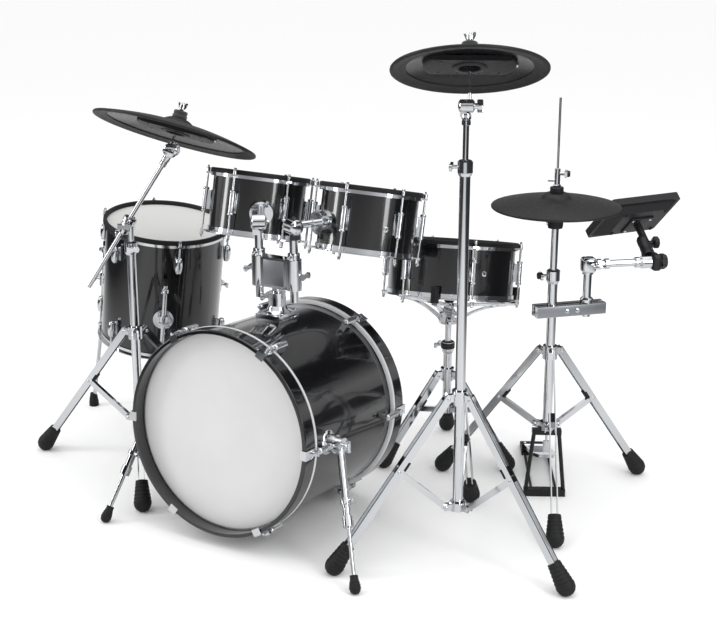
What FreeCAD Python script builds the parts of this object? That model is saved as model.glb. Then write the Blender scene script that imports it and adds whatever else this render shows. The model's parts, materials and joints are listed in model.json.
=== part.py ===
"""Electronic drum kit with full-depth wooden shells, mesh heads, rubber pad cymbals and chrome stands.

Millimetres, +Z up, the drummer sits on the +Y side and the audience looks along +Y.
Every stand and drum is drawn in its own frame and then set down on the floor at its place in the kit.
"""
import FreeCAD, Part
import math
import os

import Sketcher
from FreeCAD import Placement, Rotation, Vector

# Driving dimensions, in millimetres and degrees. Names of places are on the floor plan of the kit.
DIMENSIONS = {
    # Whole kit on the floor
    "kit_shift_x": 8.9,
    "kit_shift_y": -46.0,
    "running_gap": 0.05,
    "part_gap": 0.3,
    # Bass drum
    "bass_x": 30.0,
    "bass_rear_y": -6.0,
    "bass_tilt": 3.95,
    "bass_shell_d": 508.0,
    "bass_shell_length": 406.0,
    "bass_wall": 7.5,
    "bass_hoop_gap": 2.0,
    "bass_hoop_width": 44.0,
    "bass_hoop_wall": 10.5,
    "bass_recess": 36.5,
    "bass_ring_proud": 7.0,
    "bass_ring_width": 6.0,
    "bass_lug_setback": 74.0,
    "bass_lug_length": 40.0,
    "bass_lug_width": 17.0,
    "bass_lug_height": 19.0,
    "bass_rod_d": 7.0,
    "claw_width": 24.0,
    "claw_sheet": 3.5,
    "claw_lip": 15.0,
    "claw_length": 40.0,
    "head_sheet": 1.0,
    # Spurs of the bass drum
    "spur_setback": 121.0,
    "spur_boss_d": 46.0,
    "spur_boss_depth": 24.0,
    "spur_knuckle_d": 40.0,
    "spur_knuckle_depth": 20.0,
    "spur_pin_d": 12.0,
    "spur_tube_d": 19.0,
    "spur_tube_length": 205.0,
    "spur_rod_d": 10.0,
    "spur_left_reach": 80.0,
    "spur_right_reach": 177.0,
    "spur_foot_reach": 166.0,
    "spur_tip_d": 26.0,
    # Tom holder on the bass drum. Its rises are over the height of the bass hoop.
    "holder_rear_setback": 215.0,
    "holder_plate_length": 92.0,
    "holder_plate_width": 74.0,
    "holder_plate_height": 14.0,
    "holder_socket_d": 46.0,
    "holder_socket_height": 52.0,
    "holder_post_d": 25.0,
    "holder_post_bore": 20.0,
    "holder_block_rise": 80.0,
    "holder_block_height": 80.0,
    "holder_block_depth": 30.0,
    "holder_arm_spread": 107.0,
    "holder_barrel_d": 40.0,
    "holder_arm_d": 22.0,
    "holder_arm_rise": 47.0,
    "holder_elbow_rise": 245.0,
    "elbow_d": 40.0,
    "elbow_depth": 16.0,
    "elbow_pin_d": 9.0,
    # Rack toms. The rise of a tom's middle is over the height of the bass hoop.
    "tom_shell_d": 254.0,
    "tom_shell_height": 152.0,
    "tom_tilt": 13.7,
    "tom_left_x": -168.0,
    "tom_left_y": 0.0,
    "tom_left_rise": 234.0,
    "tom_right_x": 182.0,
    "tom_right_y": 0.0,
    "tom_right_rise": 232.0,
    "tom_bracket_d": 62.0,
    "tom_bracket_depth": 26.0,
    "tom_stub_d": 19.0,
    "tom_stub_bite": 4.0,
    # Floor tom
    "floor_tom_shell_d": 356.0,
    "floor_tom_shell_height": 356.0,
    "floor_tom_x": -667.0,
    "floor_tom_y": 167.0,
    "floor_tom_z": 277.0,
    "floor_tom_lean": 8.56,
    "floor_tom_lean_heading": -10.7,
    "floor_tom_lug_turn": 20.0,
    "floor_leg_d": 12.7,
    "floor_leg_standoff": 27.0,
    "floor_leg_bend": 30.0,
    "floor_leg_top": 240.0,
    "floor_leg_foot_spread": 252.0,
    "floor_leg_heading": 189.7,
    "floor_bracket_d": 60.0,
    "floor_bracket_height": 125.0,
    "floor_bracket_depth": 14.0,
    "floor_foot_d": 30.0,
    "floor_foot_height": 42.0,
    # Snare drum and its stand
    "snare_x": 252.0,
    "snare_y": 336.0,
    "snare_shell_d": 356.0,
    "snare_shell_height": 140.0,
    "snare_pivot_z": 438.0,
    "snare_bottom_rise": 57.0,
    "snare_tilt": 13.0,
    "snare_tilt_heading": 105.0,
    "snare_lug_turn": 15.0,
    "snare_clamp_heading": 180.0,
    "snare_tube_d": 25.4,
    "snare_inner_tube_d": 19.0,
    "snare_collar_z": 255.0,
    "snare_hub_z": 150.0,
    "snare_brace_seat": 112.0,
    "snare_tube_top": 318.0,
    "snare_inner_bottom": 232.0,
    "snare_foot_radius": 215.0,
    "snare_foot_heading": -3.3,
    "basket_heading": 45.0,
    "basket_arm_width": 16.0,
    "basket_arm_sheet": 7.0,
    "basket_grip_d": 20.0,
    "basket_grip_height": 44.0,
    # Shells, hoops and lugs shared by the toms, floor tom and snare
    "shell_wall": 6.5,
    "flesh_ring_height": 9.0,
    "flesh_ring_wall": 8.0,
    "rim_height": 13.0,
    "rim_wall": 10.0,
    "bottom_hoop_height": 16.0,
    "bottom_hoop_wall": 3.0,
    "bottom_flange": 8.5,
    "rod_standoff": 16.0,
    "rod_d": 6.0,
    "rod_head_d": 10.0,
    "rod_head_height": 9.0,
    "ear_width": 16.0,
    "ear_sheet": 5.0,
    "lug_width": 14.0,
    "lug_height": 64.0,
    "lug_short_height": 46.0,
    "lug_inset": 36.0,
    "trigger_bar_width": 30.0,
    "trigger_bar_sheet": 4.0,
    "trigger_plate_d": 60.0,
    "trigger_cone_d": 38.0,
    "trigger_drop": 34.0,
    # Double-braced tripods
    "strip_height": 19.0,
    "strip_sheet": 3.0,
    "strip_gap": 12.0,
    "brace_height": 15.0,
    "collar_wall": 7.0,
    "collar_height": 36.0,
    "collar_ear_reach": 20.0,
    "hub_height": 22.0,
    "tripod_pin_d": 6.0,
    "boot_d": 46.0,
    "boot_length": 84.0,
    "boot_neck_d": 30.0,
    "boot_bite": 34.0,
    "boot_end_z": 22.0,
    "stand_tube_wall": 1.6,
    "clamp_d": 36.0,
    "clamp_height": 34.0,
    "wing_width": 30.0,
    "wing_height": 17.0,
    "wing_sheet": 7.0,
    "wing_stem_d": 9.0,
    "wing_stem_length": 16.0,
    # Crash cymbal stand
    "crash_x": 573.0,
    "crash_y": -223.0,
    "crash_foot_radius": 333.0,
    "crash_foot_heading": 110.0,
    "crash_collar_z": 420.0,
    "crash_hub_z": 135.0,
    "crash_brace_seat": 214.0,
    "crash_tube_d": 25.4,
    "crash_tube_top": 962.0,
    "crash_clamp_heading": 200.0,
    "crash_inner_tube_d": 14.0,
    "crash_inner_bottom": 620.0,
    "crash_tilter_z": 1123.0,
    "crash_d": 366.0,
    "crash_lean": 24.0,
    "crash_lean_heading": 119.5,
    "crash_stem": 110.0,
    # Ride cymbal boom stand
    "ride_x": -472.0,
    "ride_y": -178.0,
    "ride_foot_radius": 333.0,
    "ride_foot_heading": 70.0,
    "ride_collar_z": 402.0,
    "ride_hub_z": 144.0,
    "ride_brace_seat": 205.0,
    "ride_tube_d": 25.4,
    "ride_tube_top": 628.0,
    "ride_clamp_heading": -45.0,
    "ride_inner_tube_d": 19.0,
    "ride_inner_bottom": 330.0,
    "ride_boom_z": 719.0,
    "ride_boom_d": 13.0,
    "ride_boom_tail": 215.0,
    "ride_boom_reach": 250.0,
    "ride_boom_rise": 57.0,
    "ride_boom_heading": 22.0,
    "ride_d": 446.0,
    "ride_lean": 23.5,
    "ride_lean_heading": 80.7,
    "ride_stem": 70.0,
    # Tilters of the cymbal stands
    "tilter_d": 30.0,
    "tilter_depth": 14.0,
    "tilter_pin_d": 8.0,
    "stem_d": 8.0,
    "seat_ball_d": 32.0,
    "seat_hole_d": 22.0,
    "cymbal_bow": 26.0,
    "cymbal_bell_d": 96.0,
    "cymbal_bell_rise": 16.0,
    "cymbal_edge": 7.0,
    "cymbal_tray_d": 150.0,
    "cymbal_tray_depth": 14.0,
    "cymbal_cup_d": 40.0,
    "cymbal_cup_height": 20.0,
    # Hi-hat stand
    "hihat_x": 615.0,
    "hihat_y": 223.0,
    "hihat_foot_radius": 330.0,
    "hihat_foot_heading": 58.5,
    "hihat_collar_z": 415.0,
    "hihat_hub_z": 206.0,
    "hihat_brace_seat": 190.0,
    "hihat_tube_d": 25.4,
    "hihat_tube_top": 605.0,
    "hihat_clamp_heading": 215.0,
    "hihat_inner_tube_d": 19.0,
    "hihat_inner_bottom": 470.0,
    "hihat_rod_d": 6.0,
    "hihat_rod_bottom": 150.0,
    "pedal_strap_bite": 10.0,
    "hihat_rod_top": 1091.0,
    "hihat_pad_d": 336.0,
    "hihat_pad_z": 806.0,
    "hihat_pad_bow": 20.0,
    "hihat_pad_bell_d": 84.0,
    "hihat_pad_bell_rise": 14.0,
    "hihat_controller_z": 754.0,
    "hihat_controller_d": 78.0,
    "hihat_travel": 10.0,
    "clutch_d": 15.0,
    "clutch_height": 62.0,
    "clutch_bolt_heading": 20.0,
    # Hi-hat pedal
    "pedal_heading": 118.5,
    "pedal_heel": 318.0,
    "pedal_toe": 4.0,
    "pedal_toe_z": 118.0,
    "pedal_width": 84.0,
    "pedal_sheet": 9.0,
    "pedal_frame_top_width": 79.0,
    "pedal_frame_width": 113.0,
    "pedal_frame_bar": 11.0,
    "pedal_base_height": 20.0,
    "heel_plate_length": 74.0,
    "heel_plate_height": 15.0,
    "heel_pin_d": 8.0,
    # Multi-clamp, module arm and sound module
    "multi_clamp_z": 516.0,
    "multi_clamp_heading": 46.0,
    "multi_clamp_length": 195.0,
    "multi_clamp_width": 40.0,
    "multi_clamp_height": 30.0,
    "module_post_offset": 98.0,
    "module_post_d": 22.0,
    "module_arm_z": 648.0,
    "module_arm_heading": 41.0,
    "module_arm_length": 172.0,
    "module_joint_d": 34.0,
    "module_joint_depth": 26.0,
    "module_x": 727.0,
    "module_y": 503.0,
    "module_z": 738.0,
    "module_heading": 58.0,
    "module_slope": 45.0,
    "module_length": 226.0,
    "module_depth": 158.0,
    "module_thickness": 40.0,
    "module_dial_d": 34.0,
    "module_dial_height": 13.0,
    "module_button_side": 13.0,
    "module_button_proud": 4.0,
    "module_bracket_d": 20.0,
}

doc = FreeCAD.newDocument("drum_kit")
sheet = doc.addObject("Spreadsheet::Sheet", "Sizes")


class Size:
    """A length with the spreadsheet formula that gives it."""

    def __init__(self, value, text):
        self.value = float(value)
        self.text = text

    def __add__(self, other):
        return Size(number(self) + number(other), f"({formula(self)} + {formula(other)})")

    def __radd__(self, other):
        return Size(number(other) + number(self), f"({formula(other)} + {formula(self)})")

    def __sub__(self, other):
        return Size(number(self) - number(other), f"({formula(self)} - {formula(other)})")

    def __rsub__(self, other):
        return Size(number(other) - number(self), f"({formula(other)} - {formula(self)})")

    def __mul__(self, other):
        return Size(number(self) * number(other), f"({formula(self)} * {formula(other)})")

    __rmul__ = __mul__

    def __truediv__(self, other):
        return Size(number(self) / number(other), f"({formula(self)} / {formula(other)})")

    def __neg__(self):
        return Size(-self.value, f"(0 - {self.text})")


def number(value):
    return value.value if isinstance(value, Size) else float(value)


def formula(value):
    return value.text if isinstance(value, Size) else repr(float(value))


class Sheet:
    """The driving dimensions, written to the spreadsheet and read back as sizes."""

    def __init__(self, dimensions):
        for row, (name, value) in enumerate(dimensions.items(), start=1):
            sheet.set(f"A{row}", name)
            sheet.set(f"B{row}", str(value))
            sheet.setAlias(f"B{row}", name)
            setattr(self, name, Size(value, f"Sizes.{name}"))
        doc.recompute()


dim = Sheet(DIMENSIONS)
nodes = []


# Drawing helpers

def bind(feature, name, value):
    """Sets a size of a feature and ties it to the spreadsheet."""
    setattr(feature, name, number(value))
    if isinstance(value, Size):
        feature.setExpression(name, value.text)


def put(feature, base=(0, 0, 0), turn=Rotation(), frame=None):
    """Places a feature at a point of its unit, or of a turned frame within the unit."""
    local = Placement(Vector(*[number(value) for value in base]), turn)
    feature.Placement = frame.multiply(local) if frame else local
    if frame:
        return feature
    for axis, value in zip("xyz", base):
        if isinstance(value, Size):
            feature.setExpression(f"Placement.Base.{axis}", value.text)
    return feature


def toward(direction):
    """The rotation that turns the Z axis to a direction."""
    return Rotation(Vector(0, 0, 1), direction)


# Angle between two lugs of a drum
LUG_STEP = 60
# Rise of a quarter circle over its chord, as a share of its radius
QUARTER_RISE = 1 - math.sqrt(0.5)

ALONG_X = Rotation(Vector(0, 1, 0), 90)
ALONG_Y = Rotation(Vector(1, 0, 0), -90)
UPRIGHT = Rotation()


def heading(angle, base=(0, 0, 0)):
    """A frame whose X axis points along a heading on the floor plan."""
    return Placement(Vector(*[number(value) for value in base]), Rotation(Vector(0, 0, 1), number(angle)))


def cylinder(diameter, length, base=(0, 0, 0), turn=UPRIGHT, frame=None):
    solid = doc.addObject("Part::Cylinder", "cylinder")
    bind(solid, "Radius", diameter / 2)
    bind(solid, "Height", length)
    return put(solid, base, turn, frame)


def cone(bottom_d, top_d, length, base=(0, 0, 0), turn=UPRIGHT, frame=None):
    solid = doc.addObject("Part::Cone", "cone")
    bind(solid, "Radius1", bottom_d / 2)
    bind(solid, "Radius2", top_d / 2)
    bind(solid, "Height", length)
    return put(solid, base, turn, frame)


def ball(diameter, base=(0, 0, 0), frame=None):
    solid = doc.addObject("Part::Sphere", "ball")
    bind(solid, "Radius", diameter / 2)
    return put(solid, base, UPRIGHT, frame)


def block(length, width, height, base=(0, 0, 0), turn=UPRIGHT, frame=None):
    """A box centred in X and Y on its base point, standing on it."""
    solid = doc.addObject("Part::Box", "block")
    bind(solid, "Length", length)
    bind(solid, "Width", width)
    bind(solid, "Height", height)
    corner = Placement(Vector(*[number(value) for value in base]), turn)
    corner = corner.multiply(Placement(Vector(-number(length) / 2, -number(width) / 2, 0), Rotation()))
    solid.Placement = frame.multiply(corner) if frame else corner
    return solid


def rod(start, end, diameter):
    """A round bar from one point to another."""
    run = end - start
    return cylinder(diameter, run.Length, tuple(start), toward(run))


def bar(start, end, width, height):
    """A flat bar from one point to another, its width level and its height in the upright plane."""
    run = end - start
    side = Vector(0, 0, 1).cross(run).normalize()
    up = run.cross(side).normalize()
    turn = Rotation(up * -1, side, run, "ZXY")
    return block(height, width, run.Length, tuple(start), turn)


def cut(base, *tools):
    for tool in tools:
        result = doc.addObject("Part::Cut", "cut")
        result.Base = base
        result.Tool = tool
        base = result
    return base


def fuse(*pieces):
    result = doc.addObject("Part::MultiFuse", "fuse")
    result.Shapes = list(pieces)
    return result


def tube(outer_d, bore_d, length, base=(0, 0, 0), turn=UPRIGHT, frame=None):
    wall = cylinder(outer_d, length, base, turn, frame)
    return cut(wall, cylinder(bore_d, length, base, turn, frame))


def group(*pieces):
    result = doc.addObject("Part::Compound", "group")
    result.Links = list(pieces)
    return result


def node(label, placement, *pieces):
    """Names one sub-part of the kit and sets it down at its place."""
    shift = Placement(Vector(number(dim.kit_shift_x), number(dim.kit_shift_y), 0), Rotation())
    part = group(*pieces)
    part.Label = label
    part.Placement = shift.multiply(placement)
    nodes.append(part)
    return part


def corner_constraint(edge, end, axis, value):
    """Holds one coordinate of a corner at its distance from the sketch origin."""
    if abs(number(value)) < 1e-9:
        return Sketcher.Constraint("PointOnObject", edge, end, -2 if axis == "X" else -1), None
    if number(value) > 0:
        return Sketcher.Constraint(f"Distance{axis}", -1, 1, edge, end, number(value)), value
    return Sketcher.Constraint(f"Distance{axis}", edge, end, -1, 1, -number(value)), 0 - value


def bowed_edge(start, end, rise):
    """An arc that bows to the left of its way by its rise, drawn anticlockwise from the point returned."""
    chord_run = end - start
    side = Vector(-chord_run.y, chord_run.x, 0).normalize()
    radius = chord_run.Length ** 2 / (8 * abs(rise)) + abs(rise) / 2
    bow = side if rise > 0 else side * -1
    center = (start + end) * 0.5 + bow * (abs(rise) - radius)
    first, last = (end, start) if rise > 0 else (start, end)
    angles = [math.atan2(point.y - center.y, point.x - center.x) for point in (first, last)]
    if angles[1] < angles[0]:
        angles[1] += 2 * math.pi
    edge = Part.ArcOfCircle(Part.Circle(center, Vector(0, 0, 1), radius), *angles)
    return edge, first


def draw(sketch, outline):
    """Draws a closed outline. A corner is (x, y), or (x, y, rise) where an arc reaches it."""
    corners = [Vector(number(corner[0]), number(corner[1]), 0) for corner in outline]
    ends = []
    for index, corner in enumerate(outline):
        start = corners[index - 1]
        end = corners[index]
        if len(corner) > 2:
            edge, first = bowed_edge(start, end, number(corner[2]))
        else:
            edge, first = Part.LineSegment(start, end), start
        sketch.addGeometry(edge, False)
        ends.append(2 if first == start else 1)
    held = []
    for index, corner in enumerate(outline):
        following = (index + 1) % len(outline)
        joint = Sketcher.Constraint("Coincident", index, ends[index], following, 3 - ends[following])
        held.append((joint, None))
        held.append(corner_constraint(index, ends[index], "X", corner[0]))
        held.append(corner_constraint(index, ends[index], "Y", corner[1]))
        if len(corner) > 2:
            across = corner[0] - outline[index - 1][0]
            along = corner[1] - outline[index - 1][1]
            rise = corner[2] if number(corner[2]) > 0 else 0 - corner[2]
            radius = (across * across + along * along) / (rise * 8) + rise / 2
            held.append((Sketcher.Constraint("Radius", index, number(radius)), radius))
    sketch.addConstraint([constraint for constraint, value in held])
    for index, (constraint, value) in enumerate(held):
        if isinstance(value, Size):
            sketch.setExpression(f"Constraints[{index}]", value.text)


def outline_sketch(body, role, outline):
    sketch = body.newObject("Sketcher::SketchObject", "outline")
    plane = [feature for feature in body.Origin.OriginFeatures if feature.Role == role][0]
    sketch.AttachmentSupport = (plane, [""])
    sketch.MapMode = "FlatFace"
    draw(sketch, outline)
    return sketch


def turned(outline, base=(0, 0, 0), turn=UPRIGHT, frame=None):
    """A body turned about its Z axis from an outline of (radius, height) corners."""
    body = doc.addObject("PartDesign::Body", "turned")
    sketch = outline_sketch(body, "XZ_Plane", outline)
    feature = body.newObject("PartDesign::Revolution", "turning")
    feature.Profile = sketch
    feature.ReferenceAxis = (sketch, ["V_Axis"])
    feature.Angle = 360
    return put(body, base, turn, frame)


def bowed(outline, base=(0, 0, 0)):
    """A solid turned about the Z axis from an outline with wide arcs, whose circles cross the axis."""
    sketch = doc.addObject("Sketcher::SketchObject", "bow")
    sketch.Placement = Placement(Vector(), Rotation(Vector(1, 0, 0), 90))
    draw(sketch, outline)
    solid = doc.addObject("Part::Revolution", "bowed")
    solid.Source = sketch
    solid.Axis = Vector(0, 0, 1)
    solid.Base = Vector()
    solid.Angle = 360
    solid.Solid = True
    return put(solid, base)


def plate(outline, thickness, base=(0, 0, 0), turn=UPRIGHT, frame=None):
    """A body padded up from an outline in its XY plane."""
    body = doc.addObject("PartDesign::Body", "plate")
    feature = body.newObject("PartDesign::Pad", "pad")
    feature.Profile = outline_sketch(body, "XY_Plane", outline)
    bind(feature, "Length", thickness)
    return put(body, base, turn, frame)


def ring(outer_d, bore_d, height, base=(0, 0, 0), turn=UPRIGHT, frame=None):
    """A plain turned ring."""
    outline = [
        (bore_d / 2, 0),
        (outer_d / 2, 0),
        (outer_d / 2, height),
        (bore_d / 2, height),
    ]
    return turned(outline, base, turn, frame)


# Parts that several units share

def wing_bolt(center, reach, angle):
    """A wing bolt that stands out sideways, at a reach from a centre and along a heading."""
    frame = heading(angle, center)
    stem = cylinder(dim.wing_stem_d, dim.wing_stem_length, (reach, 0, 0), ALONG_X, frame)
    half = dim.wing_width / 2
    tall = dim.wing_height / 2
    waist = dim.wing_height / 4
    wings = plate([
        (-half, -tall),
        (0, -waist),
        (half, -tall),
        (half, tall, -waist),
        (0, waist),
        (-half, tall),
    ], dim.wing_sheet, (reach + dim.wing_stem_length - dim.wing_sheet / 2, 0, 0), Rotation(90, 0, 90), frame)
    return fuse(stem, wings)


def tube_clamp(tube_d, z, angle, bore_d):
    """A clamp collar on the top of a tube, with its wing bolt and a bore for the tube that slides in it."""
    collar = turned([
        (bore_d / 2, 0),
        (tube_d / 2 + dim.stand_tube_wall, 0),
        (dim.clamp_d / 2, dim.clamp_height / 4),
        (dim.clamp_d / 2, dim.clamp_height),
        (bore_d / 2, dim.clamp_height),
    ], (0, 0, z))
    bolt = wing_bolt((0, 0, z + dim.clamp_height * 0.6), dim.clamp_d / 2 - dim.stand_tube_wall, angle)
    return fuse(collar, bolt)


def knuckle(diameter, depth, pin_d, center, axis):
    """Two discs side by side on a hinge axis: the fixed one carries the pin, the other turns on it."""
    gap = number(dim.part_gap)
    step = axis * number(depth)
    fixed = cylinder(diameter, depth, tuple(center - step - axis * (gap / 2)), toward(axis))
    pin_start = center - step
    pin_length = depth * 2 + dim.part_gap + depth / 4
    pin = cylinder(pin_d, pin_length, tuple(pin_start), toward(axis))
    hole = cylinder(pin_d + dim.running_gap * 2, pin_length, tuple(pin_start), toward(axis))
    moving = cut(cylinder(diameter, depth, tuple(center + axis * (gap / 2)), toward(axis)), hole)
    return fuse(fixed, pin), moving, hole


def knuckle_post(tube_d, bottom, center, axis, disc_d, depth, pin_d):
    """A tube with the fixed disc of a knuckle on its neck. Returns it, the turning disc and the pin hole."""
    fixed, moving, hole = knuckle(disc_d, depth, pin_d, center, axis)
    top = center.z - number(disc_d) / 2 - number(dim.part_gap)
    wall = tube(tube_d, tube_d - dim.stand_tube_wall * 2, top - number(bottom), (center.x, center.y, bottom))
    foot = center - axis * (number(depth + dim.part_gap) / 2) - Vector(0, 0, number(disc_d) * 0.8)
    neck = bar_upright(foot, axis, depth, tube_d, disc_d * 0.8)
    return fuse(fixed, wall, neck), moving, hole


def spin(unit, angle):
    """A unit vector at a heading on the floor plan, or in a drum's own plan."""
    return Vector(math.cos(math.radians(angle)), math.sin(math.radians(angle)), 0) * unit


def thirds(start):
    """Three headings spaced evenly round a circle."""
    return [number(start) + step for step in (0, 120, 240)]


def lean(angle, angle_heading):
    """The direction of an axis that leans from upright towards a heading."""
    side = spin(math.sin(math.radians(number(angle))), number(angle_heading))
    return side + Vector(0, 0, math.cos(math.radians(number(angle))))


# Bass drum

bass_length = dim.bass_shell_length + dim.bass_recess * 2
bass_hoop_d = dim.bass_shell_d + (dim.bass_hoop_gap + dim.bass_hoop_wall) * 2
bass_ring_d = dim.bass_shell_d + dim.bass_ring_proud * 2
bass_pitch = math.radians(number(dim.bass_tilt))
bass_rear_z = number(bass_hoop_d) / 2 * math.cos(bass_pitch)
bass_rear = Vector(number(dim.bass_x), number(dim.bass_rear_y), bass_rear_z)
bass_place = Placement(bass_rear, Rotation(Vector(1, 0, 0), 90 - number(dim.bass_tilt)))
bass_front_end = Placement()
bass_rear_end = Placement(Vector(0, 0, number(bass_length)), Rotation(Vector(1, 0, 0), 180))


def claw_and_lug(end, angle):
    """One hook over the hoop with its tension rod and the lug on the shell that takes it."""
    frame = end.multiply(heading(angle))
    hoop_r = bass_hoop_d / 2
    rod_r = dim.bass_shell_d / 2 + dim.bass_lug_height
    lug_z = bass_length - dim.bass_lug_setback - dim.bass_lug_length / 2
    plate_x = hoop_r + dim.claw_sheet / 2
    lip_length = dim.claw_lip + dim.claw_sheet
    ear_length = rod_r - hoop_r + dim.bass_rod_d
    claw_z = bass_length - dim.claw_length
    return fuse(
        block(dim.claw_sheet, dim.claw_width, dim.claw_length, (plate_x, 0, claw_z), UPRIGHT, frame),
        block(lip_length, dim.claw_width, dim.claw_sheet,
              (hoop_r + dim.claw_sheet - lip_length / 2, 0, bass_length), UPRIGHT, frame),
        block(ear_length, dim.claw_width * 0.7, dim.claw_sheet * 2,
              (hoop_r + ear_length / 2, 0, claw_z), UPRIGHT, frame),
        cylinder(dim.bass_rod_d, claw_z - lug_z + dim.claw_sheet * 4, (rod_r, 0, lug_z), UPRIGHT, frame),
        cylinder(dim.bass_lug_width, dim.bass_lug_length, (rod_r, 0, lug_z), UPRIGHT, frame),
        block(dim.bass_lug_height, dim.bass_lug_width, dim.bass_lug_length,
              (dim.bass_shell_d / 2 + dim.bass_lug_height / 2, 0, lug_z), UPRIGHT, frame),
    )


def bass_drum():
    wall_bore = dim.bass_shell_d - dim.bass_wall * 2
    hoop_bore = bass_hoop_d - dim.bass_hoop_wall * 2
    front_hoop_z = bass_length - dim.bass_hoop_width
    node("bass_shell", bass_place,
         tube(dim.bass_shell_d, wall_bore, dim.bass_shell_length, (0, 0, dim.bass_recess)))
    edge = dim.bass_hoop_wall / 3
    hoop = [
        (hoop_bore / 2, 0),
        (bass_hoop_d / 2 - edge, 0),
        (bass_hoop_d / 2, edge, -edge / 4),
        (bass_hoop_d / 2, dim.bass_hoop_width - edge),
        (bass_hoop_d / 2 - edge, dim.bass_hoop_width, -edge / 4),
        (hoop_bore / 2, dim.bass_hoop_width),
    ]
    node("bass_hoops", bass_place, turned(hoop), turned(hoop, (0, 0, front_hoop_z)))
    head_d = hoop_bore - dim.part_gap * 2
    node("bass_heads", bass_place,
         cylinder(head_d, dim.head_sheet, (0, 0, dim.bass_recess - dim.head_sheet)),
         cylinder(head_d, dim.head_sheet, (0, 0, bass_length - dim.bass_recess)))
    ring_bore = dim.bass_shell_d + dim.part_gap
    rings = [
        ring(bass_ring_d, ring_bore, dim.bass_ring_width, (0, 0, dim.bass_hoop_width)),
        ring(bass_ring_d, ring_bore, dim.bass_ring_width, (0, 0, front_hoop_z - dim.bass_ring_width)),
    ]
    claws = [claw_and_lug(end, angle)
             for end in (bass_front_end, bass_rear_end) for angle in range(0, 360, LUG_STEP)]
    trigger_z = dim.bass_recess + dim.trigger_drop
    trigger = fuse(
        block(chord(wall_bore, dim.trigger_bar_width), dim.trigger_bar_width, dim.trigger_bar_sheet,
              (0, 0, trigger_z)),
        cylinder(dim.trigger_plate_d, dim.trigger_bar_sheet * 2, (0, 0, trigger_z - dim.trigger_bar_sheet)),
        cone(dim.trigger_cone_d * 0.5, dim.trigger_cone_d, dim.trigger_drop - dim.part_gap,
             (0, 0, dim.bass_recess + dim.part_gap)),
    )
    node("bass_tension_hardware", bass_place, *rings, *claws, trigger)


def chord(bore_d, width):
    """The length of a bar of a given width that just fits across a bore."""
    half = math.sqrt((number(bore_d) / 2) ** 2 - (number(width) / 2) ** 2)
    return 2 * half - number(dim.part_gap)


holder_local_z = number(dim.holder_rear_setback)
holder_point = bass_place.multVec(Vector(0, number(dim.bass_shell_d) / 2, holder_local_z))
holder_socket_top = holder_point.z + number(dim.holder_plate_height + dim.holder_socket_height)


def spur_pivot(side):
    """The centre of a spur's boss, on the shell's surface."""
    local_z = number(bass_length - dim.spur_setback)
    return bass_place.multVec(Vector(side * number(dim.bass_shell_d) / 2, 0, local_z))


def bass_brackets():
    """The tom holder's base on top of the shell and the two bosses that carry the spurs."""
    shell = cylinder(dim.bass_shell_d, bass_length, (0, 0, 0), UPRIGHT, bass_place)
    sink = dim.holder_plate_height
    foot = block(dim.holder_plate_width, dim.holder_plate_length, dim.holder_plate_height + sink,
                 (holder_point.x, holder_point.y, holder_point.z - number(sink)))
    socket = cylinder(dim.holder_socket_d, holder_socket_top - holder_point.z + number(sink),
                      (holder_point.x, holder_point.y, holder_point.z - number(sink)))
    bore = cylinder(dim.holder_post_d + dim.running_gap * 2, dim.holder_socket_height * 3,
                    (holder_point.x, holder_point.y, holder_point.z + number(dim.head_sheet)))
    bolt = wing_bolt((holder_point.x, holder_point.y, holder_socket_top - number(dim.wing_height)),
                     dim.holder_socket_d / 2 - dim.stand_tube_wall, 180)
    base = cut(fuse(foot, socket, bolt), shell, bore)
    bosses = []
    for side in (-1, 1):
        start = spur_pivot(side)
        outward = Vector(side, 0, 0)
        pin_length = dim.spur_boss_depth + dim.spur_knuckle_depth + dim.spur_pin_d / 2
        bosses.append(fuse(
            cylinder(dim.spur_boss_d, dim.spur_boss_depth, tuple(start), toward(outward)),
            cylinder(dim.spur_pin_d, pin_length, tuple(start), toward(outward)),
        ))
    node("bass_brackets", Placement(), base, *bosses)


def spur(label, side, reach):
    """A folding front leg that reaches out from the shell: knuckle, tube, clamp, inner rod, rubber tip."""
    start = spur_pivot(side)
    outward = Vector(side, 0, 0)
    inner_face = start + outward * number(dim.spur_boss_depth + dim.part_gap)
    hip = inner_face + outward * number(dim.spur_knuckle_depth / 2)
    foot = Vector(number(dim.bass_x) + side * number(dim.bass_shell_d / 2 + reach),
                  start.y - number(dim.spur_foot_reach), number(dim.spur_tip_d) / 2)
    down = (foot - hip).normalize()
    tube_end = hip + down * number(dim.spur_tube_length)
    collar_length = number(dim.spur_tube_d) * 1.3
    tip_top = foot - down * number(dim.spur_tip_d) * 1.2
    leg = fuse(
        cylinder(dim.spur_knuckle_d, dim.spur_knuckle_depth, tuple(inner_face), toward(outward)),
        cylinder(dim.spur_tube_d, dim.spur_tube_length, tuple(hip), toward(down)),
        cylinder(dim.spur_tube_d * 1.4, collar_length, tuple(tube_end - down * collar_length), toward(down)),
        rod(tube_end, tip_top, dim.spur_rod_d),
    )
    hole = cylinder(dim.spur_pin_d + dim.running_gap * 2, dim.spur_knuckle_depth * 4, tuple(start),
                    toward(outward))
    tip_length = dim.spur_tip_d * 1.2
    tip = fuse(
        ball(dim.spur_tip_d, tuple(foot)),
        cone(dim.spur_rod_d * 1.5, dim.spur_tip_d, tip_length, tuple(tip_top), toward(down)),
    )
    node(label, Placement(), cut(leg, hole), tip)


# Drums with mesh heads

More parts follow.
